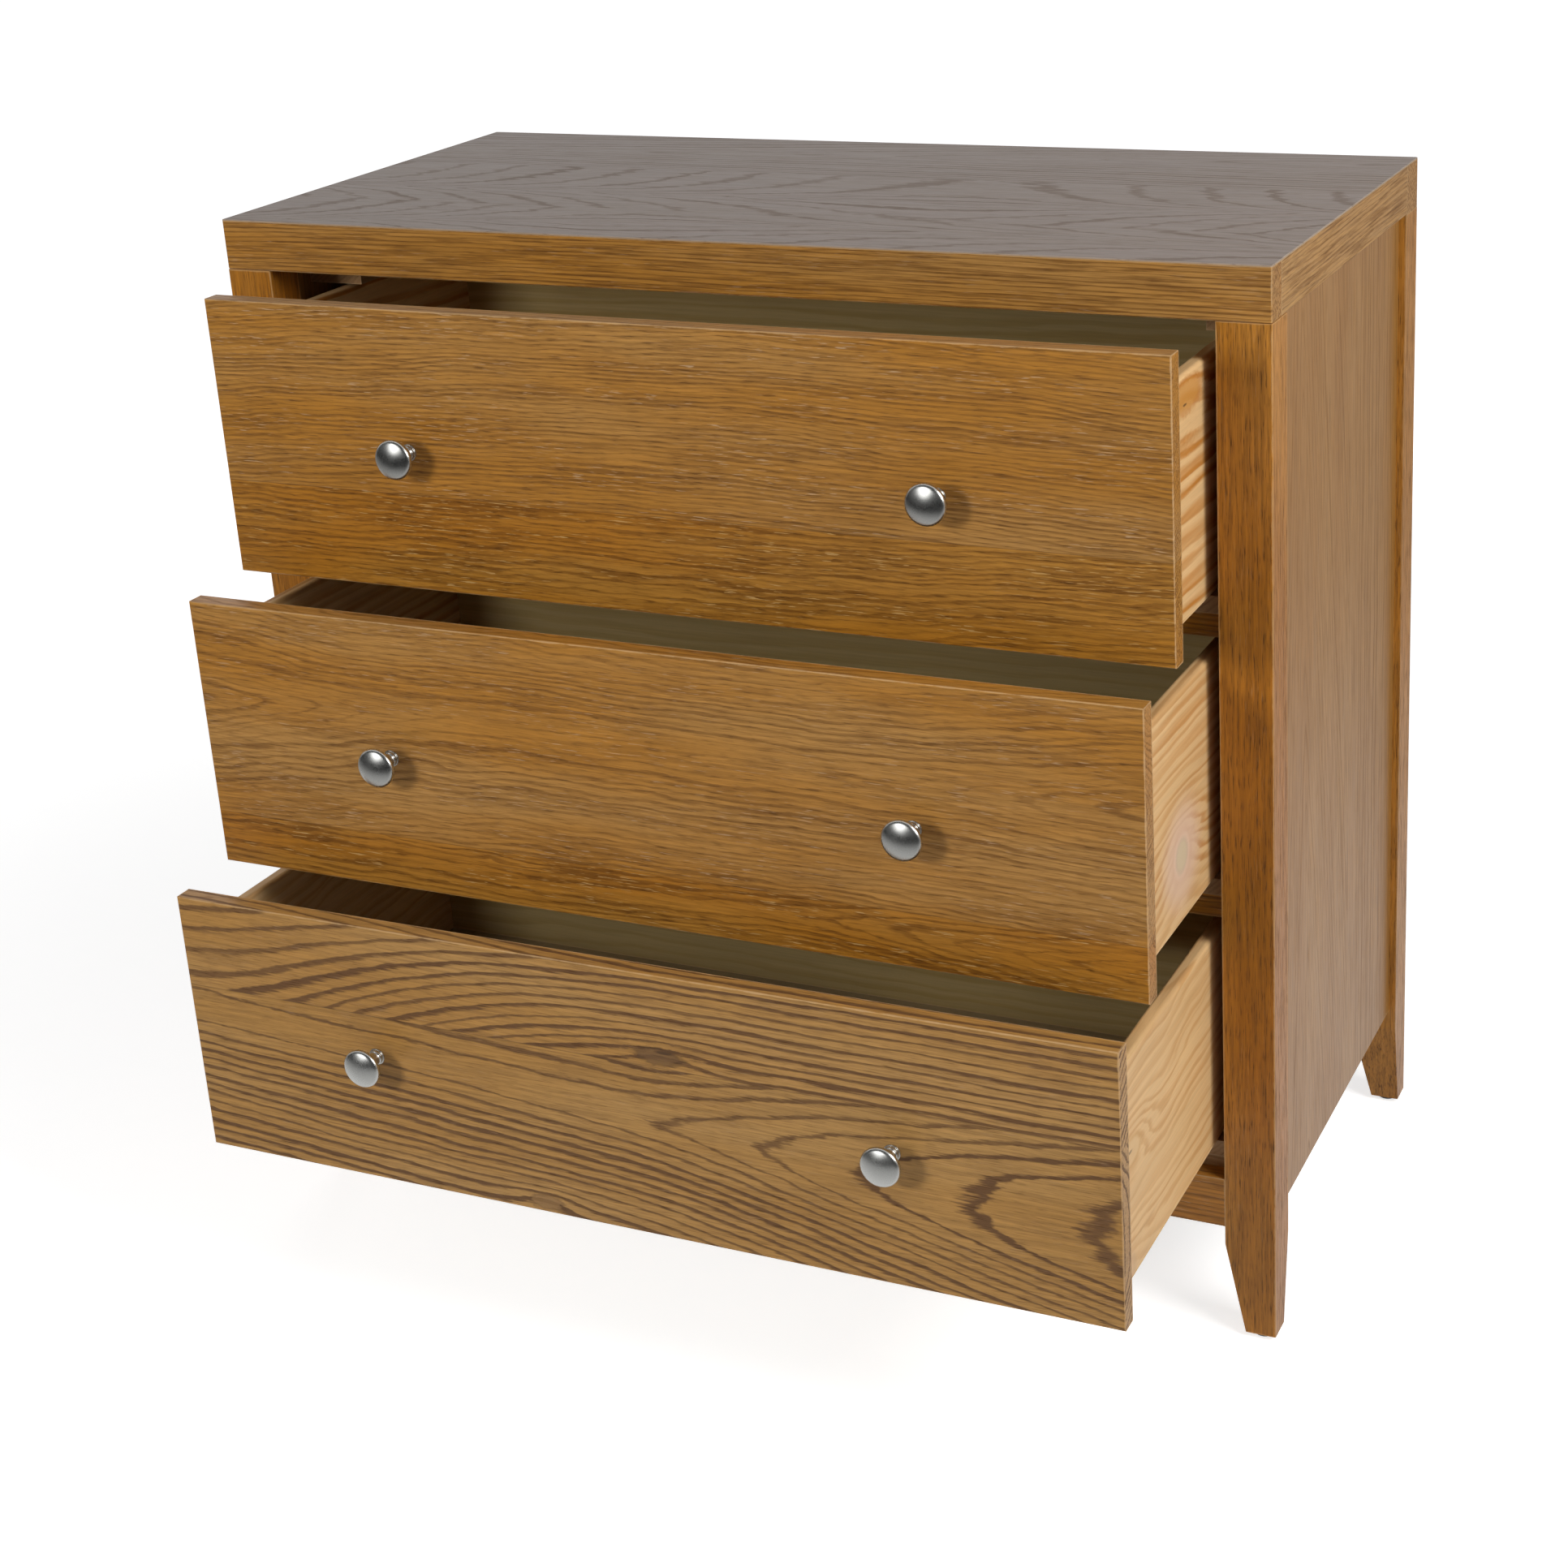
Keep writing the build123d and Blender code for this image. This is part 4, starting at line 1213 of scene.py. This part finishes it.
def make_camera(settings):
    """The camera at the photograph's angle."""
    data = bpy.data.cameras.new("camera")
    data.sensor_width = 36.0
    data.lens = settings.camera_lens
    data.shift_x = settings.camera_shift
    data.shift_y = settings.camera_shift
    data.clip_start = 0.05
    data.clip_end = 100.0
    camera = bpy.data.objects.new("camera", data)
    back = direction(settings.camera_azimuth, settings.camera_elevation)
    level = Vector((0, 0, 1)).cross(back).normalized()
    upright = back.cross(level)
    roll = settings.camera_roll
    right = level * math.cos(roll) + upright * math.sin(roll)
    place = Matrix((right, back.cross(right), back)).transposed().to_4x4()
    place.translation = Vector(settings.camera_place)
    camera.matrix_world = place
    bpy.context.scene.collection.objects.link(camera)
    bpy.context.scene.camera = camera


def make_stage():
    """Floor, lamps, world and camera."""
    settings = bpy.context.scene.chest_stage
    bpy.context.scene.view_settings.view_transform = "Standard"
    make_world(settings)
    make_floor(settings)
    for name, values in LAMPS.items():
        softbox(f"{name} softbox", *values, getattr(settings, name))
    make_camera(settings)


# Operators

class CHEST_OT_top(bpy.types.Operator):
    """Finish the top: veneer sheet, core and lippings"""

    bl_idname = "chest.top"
    bl_label = "Top"

    def execute(self, context):
        dress_top()
        return {"FINISHED"}


class CHEST_OT_legs(bpy.types.Operator):
    """Finish the four legs"""

    bl_idname = "chest.legs"
    bl_label = "Legs"

    def execute(self, context):
        dress_legs()
        return {"FINISHED"}


class CHEST_OT_panels(bpy.types.Operator):
    """Finish the side panels and the back panel"""

    bl_idname = "chest.panels"
    bl_label = "Panels"

    def execute(self, context):
        dress_panels()
        return {"FINISHED"}


class CHEST_OT_rails(bpy.types.Operator):
    """Finish rails, dowels, runners, guides, kickers and glide strips"""

    bl_idname = "chest.rails"
    bl_label = "Rails and Runners"

    def execute(self, context):
        dress_rails()
        return {"FINISHED"}


class CHEST_OT_fronts(bpy.types.Operator):
    """Finish the three drawer fronts"""

    bl_idname = "chest.fronts"
    bl_label = "Drawer Fronts"

    def execute(self, context):
        dress_fronts()
        return {"FINISHED"}


class CHEST_OT_boxes(bpy.types.Operator):
    """Finish the drawer boxes"""

    bl_idname = "chest.boxes"
    bl_label = "Drawer Boxes"

    def execute(self, context):
        dress_boxes()
        return {"FINISHED"}


class CHEST_OT_knobs(bpy.types.Operator):
    """Make the six knobs"""

    bl_idname = "chest.knobs"
    bl_label = "Knobs"

    def execute(self, context):
        make_knobs()
        return {"FINISHED"}


class CHEST_OT_screws(bpy.types.Operator):
    """Make the knob screws and the back panel screws"""

    bl_idname = "chest.screws"
    bl_label = "Screws"

    def execute(self, context):
        make_screws()
        return {"FINISHED"}


class CHEST_OT_glides(bpy.types.Operator):
    """Make the glides under the legs"""

    bl_idname = "chest.glides"
    bl_label = "Glides"

    def execute(self, context):
        make_glides()
        return {"FINISHED"}


class CHEST_OT_stage(bpy.types.Operator):
    """Make the floor, the light and the camera"""

    bl_idname = "chest.stage"
    bl_label = "Stage"

    def execute(self, context):
        make_stage()
        return {"FINISHED"}


OPERATORS = (
    CHEST_OT_top, CHEST_OT_legs, CHEST_OT_panels, CHEST_OT_rails, CHEST_OT_fronts, CHEST_OT_boxes,
    CHEST_OT_knobs, CHEST_OT_screws, CHEST_OT_glides, CHEST_OT_stage,
)


class CHEST_PT_sidebar(bpy.types.Panel):
    """Chest settings and build steps"""

    bl_idname = "CHEST_PT_sidebar"
    bl_label = "Chest of Three Drawers"
    bl_space_type = "VIEW_3D"
    bl_region_type = "UI"
    bl_category = "Chest"

    def draw(self, context):
        layout = self.layout
        for operator in OPERATORS:
            layout.operator(operator.bl_idname)
        for group in (context.scene.chest_finish, context.scene.chest_fittings, context.scene.chest_stage):
            box = layout.box()
            for name in group.bl_rna.properties.keys():
                if name not in ("rna_type", "name"):
                    box.prop(group, name)


CLASSES = (ChestFinish, ChestFittings, ChestStage, *OPERATORS, CHEST_PT_sidebar)


def register():
    """Registers the settings, operators and panel."""
    for each in CLASSES:
        bpy.utils.register_class(each)
    bpy.types.Scene.chest_finish = bpy.props.PointerProperty(type=ChestFinish)
    bpy.types.Scene.chest_fittings = bpy.props.PointerProperty(type=ChestFittings)
    bpy.types.Scene.chest_stage = bpy.props.PointerProperty(type=ChestStage)


def unregister():
    """Removes what register added."""
    del bpy.types.Scene.chest_stage
    del bpy.types.Scene.chest_fittings
    del bpy.types.Scene.chest_finish
    for each in reversed(CLASSES):
        bpy.utils.unregister_class(each)


def main():
    """Builds everything in order."""
    register()
    bpy.ops.chest.top()
    bpy.ops.chest.legs()
    bpy.ops.chest.panels()
    bpy.ops.chest.rails()
    bpy.ops.chest.fronts()
    bpy.ops.chest.boxes()
    bpy.ops.chest.knobs()
    bpy.ops.chest.screws()
    bpy.ops.chest.glides()
    bpy.ops.chest.stage()


if __name__ == "__main__":
    main()
